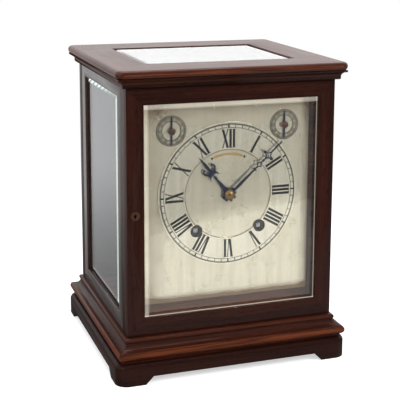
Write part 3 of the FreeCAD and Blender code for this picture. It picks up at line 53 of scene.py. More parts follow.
class Wire:
    def __init__(self, graph, socket):
        self.graph, self.socket = graph, socket

    def other(self, name):  # another output of the same node
        return Wire(self.graph, self.socket.node.outputs[name])

    def maths(self, operation, *values):
        return self.graph.node("ShaderNodeMath", {"operation": operation}, values)

    def soft(self, low, high):  # 0 at low, 1 at high, eased between
        settings = {"interpolation_type": "SMOOTHSTEP"}
        return self.graph.node("ShaderNodeMapRange", settings, {0: self, 1: low, 2: high})

    def __add__(self, value):
        return self.maths("ADD", self, value)

    def __sub__(self, value):
        return self.maths("SUBTRACT", self, value)

    def __rsub__(self, value):
        return self.maths("SUBTRACT", value, self)

    def __mul__(self, value):
        return self.maths("MULTIPLY", self, value)

    def __truediv__(self, value):
        return self.maths("DIVIDE", self, value)

    def __gt__(self, value):
        return self.maths("GREATER_THAN", self, value)

    def __lt__(self, value):
        return self.maths("LESS_THAN", self, value)

    def __pow__(self, value):
        return self.maths("POWER", self, value)

    def __abs__(self):
        return self.maths("ABSOLUTE", self)

    def most(self, value):
        return self.maths("MAXIMUM", self, value)

    def least(self, value):
        return self.maths("MINIMUM", self, value)

    def sine(self):
        return self.maths("SINE", self)

    __radd__ = __add__
    __rmul__ = __mul__


class Graph:
    def __init__(self, tree):
        self.tree = tree

    def node(self, kind, settings, inputs, out=0):
        made = self.tree.nodes.new(kind)
        for name, value in settings.items():
            setattr(made, name, value)
        pairs = inputs.items() if isinstance(inputs, dict) else enumerate(inputs)
        for key, value in pairs:
            if isinstance(value, Wire):
                self.tree.links.new(value.socket, made.inputs[key])
            else:
                made.inputs[key].default_value = value
        return Wire(self, made.outputs[out]) if made.outputs else None

    def place(self):  # the piece's own coordinates, in metres
        spot = self.node("ShaderNodeTexCoord", {}, {}, "Object")
        split = self.node("ShaderNodeSeparateXYZ", {}, [spot])
        return split, split.other("Y"), split.other("Z")

    def vector(self, x, y, z):
        return self.node("ShaderNodeCombineXYZ", {}, [x, y, z])

    def noise(self, vector, detail=2.0, roughness=0.5, scale=1.0):
        return self.node("ShaderNodeTexNoise", {}, {
            "Vector": vector, "Scale": scale, "Detail": detail, "Roughness": roughness})

    def blend(self, share, first, second):  # colours
        return self.node("ShaderNodeMix", {"data_type": "RGBA"}, {0: share, 6: first, 7: second}, 2)

    def bump(self, height, distance, strength=1.0):
        return self.node("ShaderNodeBump", {}, {"Height": height, "Distance": distance, "Strength": strength})

    def surface(self, values):
        return self.node("ShaderNodeBsdfPrincipled", {}, values)


def newMaterial(name, paint, fill=None):
    material = bpy.data.materials.new(name)
    material.use_nodes = True
    material.node_tree.nodes.clear()
    graph = Graph(material.node_tree)
    shaders = {"Surface": paint(graph)}
    if fill:
        shaders["Volume"] = fill(graph)
    graph.node("ShaderNodeOutputMaterial", {}, shaders)
    return material


def dress(names, material):
    for name in names:
        mesh = nodes[name].data
        mesh.materials.clear()
        mesh.materials.append(material)


# places that come from the frame
def halves(low, high):  # half the size, and the middle
    return (high - low) / 2, (high + low) / 2


ringLow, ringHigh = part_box("chapter_ring")
dialCentre = (ringLow + ringHigh) / 2
ringFace = ringLow.y
plateLow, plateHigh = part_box("dial_plate")
plateFace = plateLow.y
subLow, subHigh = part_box("subdial_rings")
subRadius = (subHigh.z - subLow.z) / 2
subHeight = (subHigh.z + subLow.z) / 2
subCentres = [Vector((subLow.x + subRadius, subLow.y, subHeight)),
              Vector((subHigh.x - subRadius, subLow.y, subHeight))]
lightLow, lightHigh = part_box("front_glass")
sideGlassLow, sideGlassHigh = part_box("left_glass")
frontHalf, frontMid = halves(lightLow, lightHigh)
sideHalf, sideMid = halves(sideGlassLow, sideGlassHigh)
topHalf = halves(*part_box("top_glass"))[0]
caseHalf = halves(*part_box("base_moulding"))[0]


# mahogany: dark pores and slow ribbons along each member's grain, under french polish
wood = {
    "poreWide": 0.28 * mm, "poreLong": 7 * mm, "streakWide": 1.1 * mm, "streakLong": 60 * mm,
    "ribbonWide": 9 * mm, "ribbonLong": 240 * mm, "seam": 0.12 * mm, "poreDeep": 0.02 * mm,
    "cloud": 35 * mm, "streakShare": 0.45, "poreShare": 0.7, "poreShade": 0.35, "poreGloss": 0.6,
    "seamShare": 0.7, "seamTone": (0.003, 0.001, 0.001, 1), "rough": 0.34, "streakRough": 0.1,
    "cloudRough": 0.12, "coatRough": 0.09, "coatIndex": 1.5, "specular": 0.3, "relief": 0.5,
}


def mitred(a, b, halfA, halfB):  # members meet on the diagonal from the corners of the light
    excess = (abs(a) - halfA) - (abs(b) - halfB)
    upright = excess > 0
    return a + (b - a) * upright, b + (a - b) * upright, abs(excess)


def grainColour(graph, along, across, depth, look, seam):
    def lengthwise(wide, long):
        return graph.vector(across / wide, depth / wide, along / long)
    ribbon = graph.noise(lengthwise(wood["ribbonWide"], wood["ribbonLong"]), 3).soft(0.32, 0.68)
    streak = graph.noise(lengthwise(wood["streakWide"], wood["streakLong"]), 4, 0.6).soft(0.3, 0.72)
    pores = graph.noise(lengthwise(wood["poreWide"], wood["poreLong"]), 2).soft(0.56, 0.66)
    figure = ribbon * (1 - wood["streakShare"]) + streak * wood["streakShare"]
    poreTone = tuple(part * wood["poreShade"] for part in look["dark"][:3]) + (1,)
    colour = graph.blend(figure, look["dark"], look["light"])
    colour = graph.blend(pores * wood["poreShare"], colour, poreTone)
    if seam:
        colour = graph.blend((seam < wood["seam"]) * wood["seamShare"], colour, wood["seamTone"])
    return colour, streak, pores


def mahogany(name, look, member):
    def paint(graph):
        x, y, z = graph.place()
        along, across, depth, seam = member(graph, x, y, z)
        colour, streak, pores = grainColour(graph, along, across, depth, look, seam)
        wide = wood["cloud"]
        cloud = graph.noise(graph.vector(along / wide, across / wide, depth / wide), 3)
        if "edge" in look:  # lighter where a moulding sticks out most: polish rubbed thin, partly wear and partly a painted highlight
            out = (abs(x) - caseHalf.x).most(abs(y) - caseHalf.y)
            rubbedAndHighlit = out.soft(*look["edge"]) * streak.soft(0.1, 0.7) * look["wearAndHighlight"]
            colour = graph.blend(rubbedAndHighlit, colour, look["bareAndHighlight"])
        return graph.surface({
            "Base Color": colour,
            "Roughness": wood["rough"] + streak * wood["streakRough"] + cloud * wood["cloudRough"],
            "Coat Weight": look["gloss"] * (1 - pores * wood["poreGloss"]),
            "Coat Roughness": wood["coatRough"], "Coat IOR": wood["coatIndex"],
            "Specular IOR Level": look["gloss"] * wood["specular"],
            "Normal": graph.bump(1 - pores, wood["poreDeep"], wood["relief"])})
    return newMaterial(name, paint)


def doorMember(graph, x, y, z):
    along, across, seam = mitred(x, z - frontMid.z, frontHalf.x, frontHalf.z)
    return along, across, y, seam


def sideMember(graph, x, y, z):
    along, across, seam = mitred(y - sideMid.y, z - sideMid.z, sideHalf.y, sideHalf.z)
    return along, across, x, seam


def topMember(graph, x, y, z):
    along, across, seam = mitred(x, y, topHalf.x, topHalf.y)
    return along, across, z, seam


def aroundMember(graph, x, y, z):
    along, across, seam = mitred(x, y, caseHalf.x, caseHalf.y)
    return along, z, across, seam


def boardMember(graph, x, y, z):
    return x, z, y, None


looks = {
    "door": {"dark": tone(28, 10, 6), "light": tone(56, 24, 15), "gloss": 0.16},
    "side": {"dark": tone(30, 13, 9), "light": tone(56, 27, 18), "gloss": 0.6},
    "top": {"dark": tone(44, 18, 11), "light": tone(84, 40, 24), "gloss": 0.28, "wearAndHighlight": 0.9,
            "edge": (-1.2 * mm, 0.3 * mm), "bareAndHighlight": tone(222, 108, 46)},
    "moulding": {"dark": tone(34, 13, 8), "light": tone(70, 33, 20), "gloss": 0.16, "wearAndHighlight": 0.3,
                 "edge": (-3 * mm, -0.3 * mm), "bareAndHighlight": tone(150, 72, 32)},
    "plinth": {"dark": tone(23, 9, 7), "light": tone(46, 21, 14), "gloss": 0.1},
    "inside": {"dark": tone(66, 38, 24), "light": tone(112, 70, 46), "gloss": 0.03},
}
timber = {
    ("door", doorMember): ["front_door_frame", "rear_door_frame", "front_glass_beads", "rear_glass_beads"],
    ("side", sideMember): ["left_side_frame", "right_side_frame", "case_glass_beads"],
    ("top", topMember): ["top_frame"],
    ("moulding", aroundMember): ["base_moulding", "cornice_moulding"],
    ("plinth", aroundMember): ["plinth"],
    ("inside", boardMember): ["base_board", "seat_board", "dial_surround"],
}
for (look, member), names in timber.items():
    dress(names, mahogany(look + "Mahogany", looks[look], member))
print("wood done")

# edges softened by years of polishing, in mm
softEdges = {
    "front_door_frame": 0.5, "rear_door_frame": 0.5, "left_side_frame": 0.4, "right_side_frame": 0.4,
    "top_frame": 0.4, "plinth": 0.5, "base_moulding": 0.25, "cornice_moulding": 0.25,
    "front_glass_beads": 0.3, "rear_glass_beads": 0.3, "case_glass_beads": 0.3,
    "escutcheon": 0.15, "hour_hand": 0.18, "minute_hand": 0.18, "strike_silent_hand": 0.12,
    "slow_fast_hand": 0.12, "chapter_ring": 0.12, "subdial_rings": 0.1, "dial_plate": 0.15,
}
edges = {"weld": 0.005 * mm, "segments": 2, "bevelFrom": 35, "creaseFrom": 32}
flatPlates = ("dial_plate", "chapter_ring", "subdial_rings")  # smooth shading would ripple what they mirror


def smoothAll(mesh):
    mesh.polygons.foreach_set("use_smooth", [True] * len(mesh.polygons))
    mesh.update()


for name, node in nodes.items():
    if name.endswith("_glass"):  # each facet of a pane stays flat
        continue
    weld = node.modifiers.new("weld", "WELD")
    weld.merge_threshold = edges["weld"]
    if name not in flatPlates:
        smoothAll(node.data)
    if name in softEdges:
        bevel = node.modifiers.new("softEdge", "BEVEL")
        bevel.width = softEdges[name] * mm
        bevel.segments = edges["segments"]
        bevel.limit_method = "ANGLE"
        bevel.angle_limit = math.radians(edges["bevelFrom"])
        bevel.harden_normals = True
    else:
        split = node.modifiers.new("crease", "EDGE_SPLIT")
        split.split_angle = math.radians(edges["creaseFrom"])
print("edges done")


# bevelled plate glass, green where light runs through much of it
glass = {
    "absorb": (0.35, 0.86, 0.68, 1), "density": 5, "index": 1.52, "shadow": (0.9, 0.93, 0.92, 1),
    "clear": (1, 1, 1, 1), "grey": (0.9, 0.9, 0.956, 1), "reflectionCream": (1.0, 0.93, 0.78, 1),
    "green": (0.8, 1.0, 0.9, 1), "under": 4 * mm, "bevel": 4.5 * mm, "hidden": 10.5 * mm, "line": 0.9 * mm,
}
# painted reflections: faint glows in the bevels, in place of the lights of a studio
paintedSideLights = {"front": 0.4, "slant": 0.6, "pitch": 0.0135, "bars": 0.75, "least": 0.2}
paintedFrontLights = {"left": 0.14, "high": 0.15, "low": 0.24, "right": 0.14}
paintedFaintLights = {"strength": 0.004, "scale": 30}


def strip(value, edge, inward):  # 1 on the bevel that runs inward from an edge
    reach = (value - edge) * inward
    return (reach > 0) * (reach < glass["bevel"])


# painted reflection of lights on the side pane's bevels
def paintedSideReflection(graph, x, y, z):  # along the front and the top, where slanting bars cross it
    front = strip(y, sideGlassLow.y + glass["under"] + glass["hidden"], 1) * paintedSideLights["front"]
    along = (y - sideGlassLow.y) / (sideHalf.y * 2)
    bars = ((y + z * paintedSideLights["slant"]) * (2 * math.pi / paintedSideLights["pitch"])).sine().soft(-0.5, 0.5)
    barred = bars * along.soft(0.2, 0.8) * paintedSideLights["bars"] + paintedSideLights["least"]
    return front.most(strip(z, sideGlassHigh.z - glass["under"], -1) * barred)


# painted highlights: cream strips in the left and top bevels, bright lines along the low and right edges
def paintedFrontReflection(graph, x, y, z):
    left = strip(x, lightLow.x + glass["under"], 1) * paintedFrontLights["left"]
    high = strip(z, lightHigh.z - glass["under"], -1) * paintedFrontLights["high"]
    low = (z - lightLow.z - glass["under"] < glass["line"]) * paintedFrontLights["low"]
    right = (lightHigh.x - glass["under"] - x < glass["line"]) * paintedFrontLights["right"]
    return left + (1 - left) * high + low + right


# a faint painted glow, in clouds, over the plain panes
def paintedFaintGlow(graph, x, y, z):
    return graph.noise(graph.vector(x, y, z), 2, 0.5, paintedFaintLights["scale"]) * paintedFaintLights["strength"]


def glassPaint(glow, tint, body):
    def paint(graph):
        # the emission paints the bevels' reflections onto the glass
        pane = graph.surface({
            "Base Color": body, "Roughness": 0.0, "IOR": glass["index"], "Transmission Weight": 1.0,
            "Emission Color": graph.blend(glow(graph, *graph.place()), (0, 0, 0, 1), tint),
            "Emission Strength": 1.0})
        through = graph.node("ShaderNodeBsdfTransparent", {}, [glass["shadow"]])
        shadow = graph.node("ShaderNodeLightPath", {}, {}, "Is Shadow Ray")
        return graph.node("ShaderNodeMixShader", {}, [shadow, pane, through])
    return paint


def glassFill(graph):
    values = {"Color": glass["absorb"], "Density": glass["density"]}
    return graph.node("ShaderNodeVolumeAbsorption", {}, values)


def glassMaterial(name, glow, tint, body=glass["clear"]):
    return newMaterial(name, glassPaint(glow, tint, body), glassFill)


dress(["front_glass"], glassMaterial("frontGlass", paintedFrontReflection, glass["reflectionCream"]))
dress(["left_glass"], glassMaterial("leftGlass", paintedSideReflection, glass["green"], glass["grey"]))
dress(["right_glass", "rear_glass", "top_glass"], glassMaterial("plainGlass", paintedFaintGlow, glass["green"]))
print("glass done")


# silvered brass: brushed, browner towards the edges, partly tarnish and partly painted shade, with dark
# specks
silver = {
    "clean": tone(232, 223, 200), "warm": tone(208, 196, 166), "brown": tone(120, 96, 70),
    "speck": tone(58, 46, 36), "ring": tone(238, 230, 210), "dull": tone(186, 178, 156),
    "brushWide": 0.25 * mm, "brushLong": 40 * mm, "broadWide": 6 * mm, "broadLong": 70 * mm,
    "stain": 17 * mm, "stainShare": 0.35, "leastBrown": 0.4,
    "speckSize": 2.6 * mm, "speckWide": 0.24, "speckShare": 0.75, "group": 11 * mm,
    "speckSides": {"left": 0.6, "low": 0.5}, "speckAnywhere": 0.35,
    "polish": 0.07, "brushRough": 0.06, "brownRough": 0.25, "speckRough": 0.2,
    "metallic": 0.8, "brownMetallic": 0.5, "specular": 0.4, "relief": 0.006 * mm,
    # how far the brown, partly painted shade, reaches in from each side of the plate, and how strong it is
    "reach": {"left": 25.6 * mm, "top": 28.8 * mm, "low": 8.8 * mm, "right": 9.6 * mm},
    "shadeAndBrowning": {"left": 0.5, "top": 0.6, "low": 1.5, "right": 0.5},
}


def silverPaint(graph, clean, age):
    x, y, z = graph.place()

    def upright(wide, long):
        return graph.vector(x / wide, y, z / long)
    wide = silver["brushWide"]
    brush = graph.noise(graph.vector(x / wide, y / wide, z / silver["brushLong"]), 3)
    broad = graph.noise(upright(silver["broadWide"], silver["broadLong"]), 3)
    stains = graph.noise(upright(silver["stain"], silver["stain"]), 5, 0.62)
    inwards = {"left": x - plateLow.x, "top": plateHigh.z - z, "low": z - plateLow.z,
               "right": plateHigh.x - x}
    near = {side: inward.soft(silver["reach"][side], 0.0) for side, inward in inwards.items()}
    edgeShadeAndBrowning = sum(near[side] * share for side, share in silver["shadeAndBrowning"].items())
    edgeShadeAndBrowning = edgeShadeAndBrowning * (stains + silver["leastBrown"])
    # the tarnish here also carries the painted shade at the plate's edges
    tarnish = ((edgeShadeAndBrowning + stains.soft(0.5, 0.8) * silver["stainShare"]) * age).least(1.0)
    colour = graph.blend(broad.soft(0.35, 0.7) * 0.35, clean, silver["warm"])
    colour = graph.blend(tarnish, colour, silver["brown"])
    spots = graph.node("ShaderNodeTexVoronoi", {}, {
        "Vector": upright(silver["speckSize"], silver["speckSize"]), "Scale": 1.0, "Randomness": 1.0})
    rare = graph.noise(upright(silver["group"], silver["group"]), 2).soft(0.52, 0.66)
    where = sum(near[side] * share for side, share in silver["speckSides"].items()) + silver["speckAnywhere"]
    speck = (spots < silver["speckWide"]) * rare * where * age
    colour = graph.blend(speck * silver["speckShare"], colour, silver["speck"])
    rough = brush * silver["brushRough"] + tarnish * silver["brownRough"] + speck * silver["speckRough"]
    return graph.surface({
        "Base Color": colour, "Metallic": silver["metallic"] - tarnish * silver["brownMetallic"],
        "Roughness": silver["polish"] + rough, "Specular IOR Level": silver["specular"],
        "Normal": graph.bump(brush + speck * 0.5, silver["relief"], 0.4)})


for silvered, name, tint, age in (("dial_plate", "agedSilvering", "clean", 1.0),
                                  ("chapter_ring", "ringSilvering", "ring", 0.35),
                                  ("subdial_rings", "dullSilvering", "dull", 0.8)):
    dress([silvered], newMaterial(name, lambda graph: silverPaint(graph, silver[tint], age)))


# other metals
def metalPaint(colour, dull, roughness, patina, metallic=1.0):
    def paint(graph):
        x, y, z = graph.place()
        cloud = graph.noise(graph.vector(x, y, z), 5, 0.6, 120)
        fine = graph.noise(graph.vector(x, y, z), 2, 0.5, 1800)
        tarnish = cloud.soft(0.42, 0.75) * patina
        return graph.surface({
            "Base Color": graph.blend(tarnish, colour, dull), "Metallic": metallic,
            "Roughness": roughness + tarnish * 0.25 + fine * 0.06,
            "Normal": graph.bump(fine, 0.004 * mm, 0.3)})
    return paint


metals = {
    "polishedBrass": metalPaint(tone(222, 184, 110), tone(134, 96, 48), 0.14, 0.5),
    "movementBrass": metalPaint(tone(206, 166, 96), tone(120, 86, 44), 0.3, 0.7),
    "bluedSteel": metalPaint(tone(34, 44, 74), tone(22, 22, 34), 0.22, 0.6),
    "polishedSteel": metalPaint(tone(176, 174, 178), tone(104, 98, 96), 0.24, 0.5),
    "antiqueBrass": metalPaint(tone(150, 118, 70), tone(82, 60, 38), 0.24, 0.8),
    "blackenedSteel": metalPaint(tone(44, 38, 42), tone(22, 18, 20), 0.3, 0.6),
    "darkBronze": metalPaint(tone(82, 50, 34), tone(44, 26, 18), 0.34, 0.7, 0.6),
}
finishes = {name: newMaterial(name, paint) for name, paint in metals.items()}
slotFinish = {"brass": "movementBrass", "blued_steel": "bluedSteel", "steel": "polishedSteel",
              "dark_brass": "darkBronze"}
for part in frame["record"]["subparts"]:
    if part["material_slot"] in slotFinish:
        dress([part["node"]], finishes[slotFinish[part["material_slot"]]])
dress(["hand_boss"], finishes["antiqueBrass"])
dress(["pendulum_bob", "rear_door_knob", "going_barrel", "strike_barrel"], finishes["polishedBrass"])
waxMaterial = newMaterial("blackWax", lambda graph: graph.surface({
    "Base Color": graph.blend(graph.noise(graph.vector(*graph.place()), 3, 0.6, 900).soft(0.45, 0.75),
                              tone(7, 6, 8), tone(18, 16, 16)),
    "Roughness": 0.55, "Specular IOR Level": 0.2}))
giltMaterial = newMaterial("giltEngraving", lambda graph: graph.surface({
    "Base Color": graph.blend(graph.noise(graph.vector(*graph.place()), 3, 0.6, 700),
                              tone(186, 148, 78), tone(140, 106, 54)),
    "Metallic": 0.4, "Roughness": 0.4}))
print("metals done")


# pieces of mesh made here
def settle(name, mesh, rider, finish):
    piece = bpy.data.objects.new(name, mesh)
    bpy.context.scene.collection.objects.link(piece)
    mesh.materials.clear()
    mesh.materials.append(finish)
    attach(piece, rider)
    return piece


def dialTurn(x, y, z):  # from a flat drawing in X and Y to the dial's face
    return Matrix.Translation((x, y, z)) @ Matrix.Rotation(math.radians(90), 4, "X")


def newTree(name, sockets):  # named inputs, and one mesh out
    tree = bpy.data.node_groups.new(name, "GeometryNodeTree")
    for socket, kind in sockets.items():
        tree.interface.new_socket(socket, in_out="INPUT", socket_type="NodeSocket" + kind)
    tree.interface.new_socket("Mesh", in_out="OUTPUT", socket_type="NodeSocketGeometry")
    graph = Graph(tree)
    return tree, graph, graph.node("NodeGroupInput", {}, {}, next(iter(sockets)))


def finishTree(graph, given, shape):
    real = graph.node("GeometryNodeRealizeInstances", {}, {"Geometry": shape})
    values = {"Geometry": real, "Material": given.other("Material")}
    graph.node("NodeGroupOutput", {}, [graph.node("GeometryNodeSetMaterial", {}, values)])


def tickTree():  # ticks round a ring
    tree, graph, given = newTree("ticksRoundRing", {
        "Count": "Int", "Inner": "Float", "Outer": "Float", "Wide": "Float", "Thick": "Float",
        "Material": "Material"})
    inner, outer = given.other("Inner"), given.other("Outer")
    size = graph.vector(outer - inner, given.other("Wide"), given.other("Thick"))
    tick = graph.node("GeometryNodeMeshCube", {}, {"Size": size})
    moved = graph.node("GeometryNodeTransform", {}, {
        "Geometry": tick, "Translation": graph.vector((outer + inner) * 0.5, 0, 0)})
    spots = graph.node("GeometryNodePoints", {}, {"Count": given})
    index = graph.node("GeometryNodeInputIndex", {}, {})
    turn = graph.vector(0, 0, index * (2 * math.pi) / given)
    finishTree(graph, given, graph.node("GeometryNodeInstanceOnPoints", {}, {
        "Points": spots, "Instance": moved, "Rotation": turn}))
    return tree


def lineTree():  # a thin line round a ring
    tree, graph, given = newTree("lineRoundRing", {
        "Radius": "Float", "Wide": "Float", "Thick": "Float", "Steps": "Int", "Material": "Material"})
    circle = graph.node("GeometryNodeCurvePrimitiveCircle", {}, {
        "Radius": given, "Resolution": given.other("Steps")})
    profile = graph.node("GeometryNodeCurvePrimitiveQuadrilateral", {}, {
        "Width": given.other("Wide"), "Height": given.other("Thick")})
    finishTree(graph, given, graph.node("GeometryNodeCurveToMesh", {}, {
        "Curve": circle, "Profile Curve": profile}))
    return tree


def grow(tree, values, place):  # runs a tree and gives its mesh, set in place
    base = bpy.data.objects.new("grown", bpy.data.meshes.new("grown"))
    bpy.context.scene.collection.objects.link(base)
    modifier = base.modifiers.new("nodes", "NODES")
    modifier.node_group = tree
    for item in tree.interface.items_tree:
        if item.in_out == "INPUT":
            modifier[item.identifier] = values[item.name]
    bpy.context.view_layer.update()
    evaluated = base.evaluated_get(bpy.context.evaluated_depsgraph_get())
    mesh = bpy.data.meshes.new_from_object(evaluated)
    base.modifiers.clear()
    bpy.data.objects.remove(base)
    mesh.transform(place)
    return mesh


def merged(meshes):
    both = bmesh.new()
    for mesh in meshes:
        both.from_mesh(mesh)
    whole = bpy.data.meshes.new("merged")
    both.to_mesh(whole)
    both.free()
    return whole


ticks, lines = tickTree(), lineTree()


def ringTicks(count, inner, outer, wide, place, finish, thick=0.04):
    return grow(ticks, {"Count": count, "Inner": inner * mm, "Outer": outer * mm, "Wide": wide * mm,
                        "Thick": thick * mm, "Material": finish}, place)


def ringLine(radius, wide, place, finish, steps=256, thick=0.04):
    return grow(lines, {"Radius": radius * mm, "Wide": wide * mm, "Thick": thick * mm, "Steps": steps,
                        "Material": finish}, place)


# the chapter ring's engraving: minute track and Roman hours, filled with black wax
chapter = {
    "trackInner": 59.2, "trackOuter": 61.9, "lineWide": 0.42, "rim": 62.6, "rimWide": 0.6,
    "minuteWide": 0.62, "hourWide": 1.3, "hourOuter": 62.8, "numeralFoot": 41.4, "numeralTop": 57.8,
    "thickStroke": 2.15, "thinStroke": 0.8, "serif": 0.4, "high": 0.02, "spreadI": 3.2, "spreadV": 5.6,
    "spreadX": 6.4, "pad": 0.9, "serifI": 0.45, "serifThick": 0.3, "serifThin": 0.5, "hourInward": 0.2,
    "edge": 40.0, "edgeShadeWide": 0.45,
}
hourWords = ["XII", "I", "II", "III", "IIII", "V", "VI", "VII", "VIII", "IX", "X", "XI"]


def stroke(shape, start, end, wide, serif):
    along = (end - start).normalized()
    side = Vector((1, 0)) * wide / 2 if abs(along.y) > 0.3 else Vector((0, 1)) * wide / 2
    shape.append([start - side, start + side, end + side, end - side])
    half, rise = wide / 2 + serif, chapter["serif"] / 2
    for spot in (start, end):
        inward = rise if spot.y < (start.y + end.y) / 2 else -rise
        middle = Vector((spot.x, spot.y + inward))
        shape.append([middle + Vector(corner) for corner in (
            (-half, -rise), (half, -rise), (half, rise), (-half, rise))])


def letterShapes(word):
    low, high = chapter["numeralFoot"], chapter["numeralTop"]
    thickWide, thinWide = chapter["thickStroke"], chapter["thinStroke"]
    wides = {"I": chapter["spreadI"], "V": chapter["spreadV"], "X": chapter["spreadX"]}
    left = -sum(wides[letter] for letter in word) / 2
    shape = []
    for letter in word:
        wide = wides[letter]
        start, end, centre = left + chapter["pad"], left + wide - chapter["pad"], left + wide / 2
        if letter == "I":
            stroke(shape, Vector((centre, low)), Vector((centre, high)), thickWide, chapter["serifI"])
        elif letter == "V":
            stroke(shape, Vector((centre, low)), Vector((start, high)), thickWide, chapter["serifThick"])
            stroke(shape, Vector((centre + thickWide / 2, low)), Vector((end, high)), thinWide,
                   chapter["serifThin"])
        else:
            stroke(shape, Vector((end, low)), Vector((start, high)), thickWide, chapter["serifThick"])
            stroke(shape, Vector((start, low)), Vector((end, high)), thinWide, chapter["serifThin"])
        left += wide
    return shape


def plateOf(shapes, high):  # flat outlines with a little thickness, seen from +Z
    made = bmesh.new()
    for layer, corners in enumerate(shapes):
        lift = high * (1 + layer % 3 * 0.08)  # strokes that cross don't share a face
        low = [made.verts.new((spot.x * mm, spot.y * mm, 0)) for spot in corners]
        top = [made.verts.new((spot.x * mm, spot.y * mm, lift * mm)) for spot in corners]
        made.faces.new(low[::-1])
        made.faces.new(top)
        for first in range(len(corners)):
            second = (first + 1) % len(corners)
            made.faces.new([low[first], low[second], top[second], top[first]])
    bmesh.ops.recalc_face_normals(made, faces=made.faces)
    mesh = bpy.data.meshes.new("plate")
    made.to_mesh(mesh)
    made.free()
    return mesh


ringPlace = dialTurn(dialCentre.x, ringFace, dialCentre.z)
engraved = [
    ringTicks(60, chapter["trackInner"], chapter["trackOuter"], chapter["minuteWide"], ringPlace,
              waxMaterial),
    ringTicks(12, chapter["trackInner"] - chapter["hourInward"], chapter["hourOuter"], chapter["hourWide"],
              ringPlace, waxMaterial),
]
for radius, wide in (("trackInner", "lineWide"), ("trackOuter", "lineWide"), ("rim", "rimWide")):
    engraved.append(ringLine(chapter[radius], chapter[wide], ringPlace, waxMaterial))
for hour, word in enumerate(hourWords):
    mesh = plateOf(letterShapes(word), chapter["high"])
    mesh.transform(ringPlace @ Matrix.Rotation(-hour * math.pi / 6, 4, "Z"))
    engraved.append(mesh)
settle("hourEngraving", merged(engraved), "case", waxMaterial)
# a dark line painted at the chapter ring's inner edge: painted shade of the ring's step
innerEdgeShade = ringLine(chapter["edge"], chapter["edgeShadeWide"], ringPlace, finishes["darkBronze"])
settle("ringInnerLine", innerEdgeShade, "case", finishes["darkBronze"])

# a plain gilt border between two dots, inside the ring over the centre
border = {"radius": 35.6, "spread": 21, "count": 15, "long": 2.0, "wide": 3.8, "dot": 1.0, "dotAt": 25,
          "high": 0.02}
borderShapes = []
for step in range(border["count"]):
    angle = math.radians(border["spread"] * (2 * step / (border["count"] - 1) - 1))
    out, across = Vector((math.sin(angle), math.cos(angle))), Vector((math.cos(angle), -math.sin(angle)))
    spot = out * border["radius"]
    half, wide = border["long"] / 2, border["wide"] / 2
    borderShapes.append([spot - across * half, spot - out * wide, spot + across * half, spot + out * wide])
dots = []
for side in (-1, 1):
    angle = math.radians(border["dotAt"] * side)
    spot = Vector((math.sin(angle), math.cos(angle))) * border["radius"]
    dots.append([spot + Vector((math.cos(turn), math.sin(turn))) * border["dot"]
                 for turn in (step * math.pi / 8 for step in range(16))])
platePlace = dialTurn(dialCentre.x, plateFace, dialCentre.z)
for name, shapes, finish, slotName in (("giltBorder", borderShapes, giltMaterial, "brass"),
                                       ("borderDots", dots, waxMaterial, "blued_steel")):
    mesh = plateOf(shapes, border["high"])
    mesh.transform(platePlace)
    settle(name, mesh, "case", finish)

# the subsidiary dials' scales, with plain numbers, and a brass collet on each hand
scale = {"lines": (13.2, 11.7, 8.5), "lineWide": 0.5, "fine": 48, "bold": 12, "fineWide": 0.34,
         "boldWide": 0.7, "numberHigh": 2.6, "numberAt": 9.0, "numberThick": 0.01, "fontSize": 1.35}


def numberMesh(text, high):
    curve = bpy.data.curves.new("number", "FONT")
    curve.body = text
    curve.size = high * mm * scale["fontSize"]
    curve.extrude = scale["numberThick"] * mm
    curve.align_x, curve.align_y = "CENTER", "BOTTOM_BASELINE"
    curve.resolution_u = 2
    piece = bpy.data.objects.new("number", curve)
    bpy.context.scene.collection.objects.link(piece)
    bpy.context.view_layer.update()
    mesh = bpy.data.meshes.new_from_object(piece.evaluated_get(bpy.context.evaluated_depsgraph_get()))
    bpy.data.objects.remove(piece)
    return mesh


scaleMeshes = []
for centre in subCentres:
    place = dialTurn(centre.x, centre.y, centre.z)
    for radius in scale["lines"]:
        scaleMeshes.append(ringLine(radius, scale["lineWide"], place, waxMaterial, 128))
    for count, wide in (("fine", "fineWide"), ("bold", "boldWide")):
        scaleMeshes.append(ringTicks(scale[count], scale["lines"][1], scale["lines"][0], scale[wide], place,
                                     waxMaterial))
    for number in range(12):
        mesh = numberMesh(str(number * 5), scale["numberHigh"])
        turn = Matrix.Rotation(-number * math.pi / 6, 4, "Z")
        lifted = Matrix.Translation((0, scale["numberAt"] * mm, scale["numberThick"] * mm))
        mesh.transform(place @ turn @ lifted)
        scaleMeshes.append(mesh)
settle("subsidiaryScales", merged(scaleMeshes), "case", waxMaterial)


def turnedMesh(profile, steps=48):  # radius and height pairs; closed where it starts and ends on the axis
    made = bmesh.new()
    loops = []
    for radius, height in profile:
        if radius == 0:
            loops.append([made.verts.new((0, 0, height * mm))])
            continue
        loops.append([made.verts.new((radius * mm * math.cos(2 * math.pi * step / steps),
                                      radius * mm * math.sin(2 * math.pi * step / steps), height * mm))
                      for step in range(steps)])
    for low, high in zip(loops, loops[1:]):
        for step in range(steps):
            after = (step + 1) % steps
            ring = [low[step % len(low)], low[after % len(low)],
                    high[after % len(high)], high[step % len(high)]]
            made.faces.new(list(dict.fromkeys(ring)))
    bmesh.ops.recalc_face_normals(made, faces=made.faces)
    mesh = bpy.data.meshes.new("turned")
    made.to_mesh(mesh)
    made.free()
    smoothAll(mesh)
    return mesh


collet = [(0, 0), (3.0, 0), (3.2, 0.5), (2.7, 1.0), (1.8, 1.2), (1.7, 1.7), (1.0, 2.1), (0, 2.2)]
for centre, hand in zip(subCentres, ("strike_silent_hand", "slow_fast_hand")):
    mesh = turnedMesh(collet)
    mesh.transform(dialTurn(centre.x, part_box(hand)[0].y - 0.01 * mm, centre.z))
    settle(hand + "Collet", mesh, hand, finishes["darkBronze"])
print("dial done")

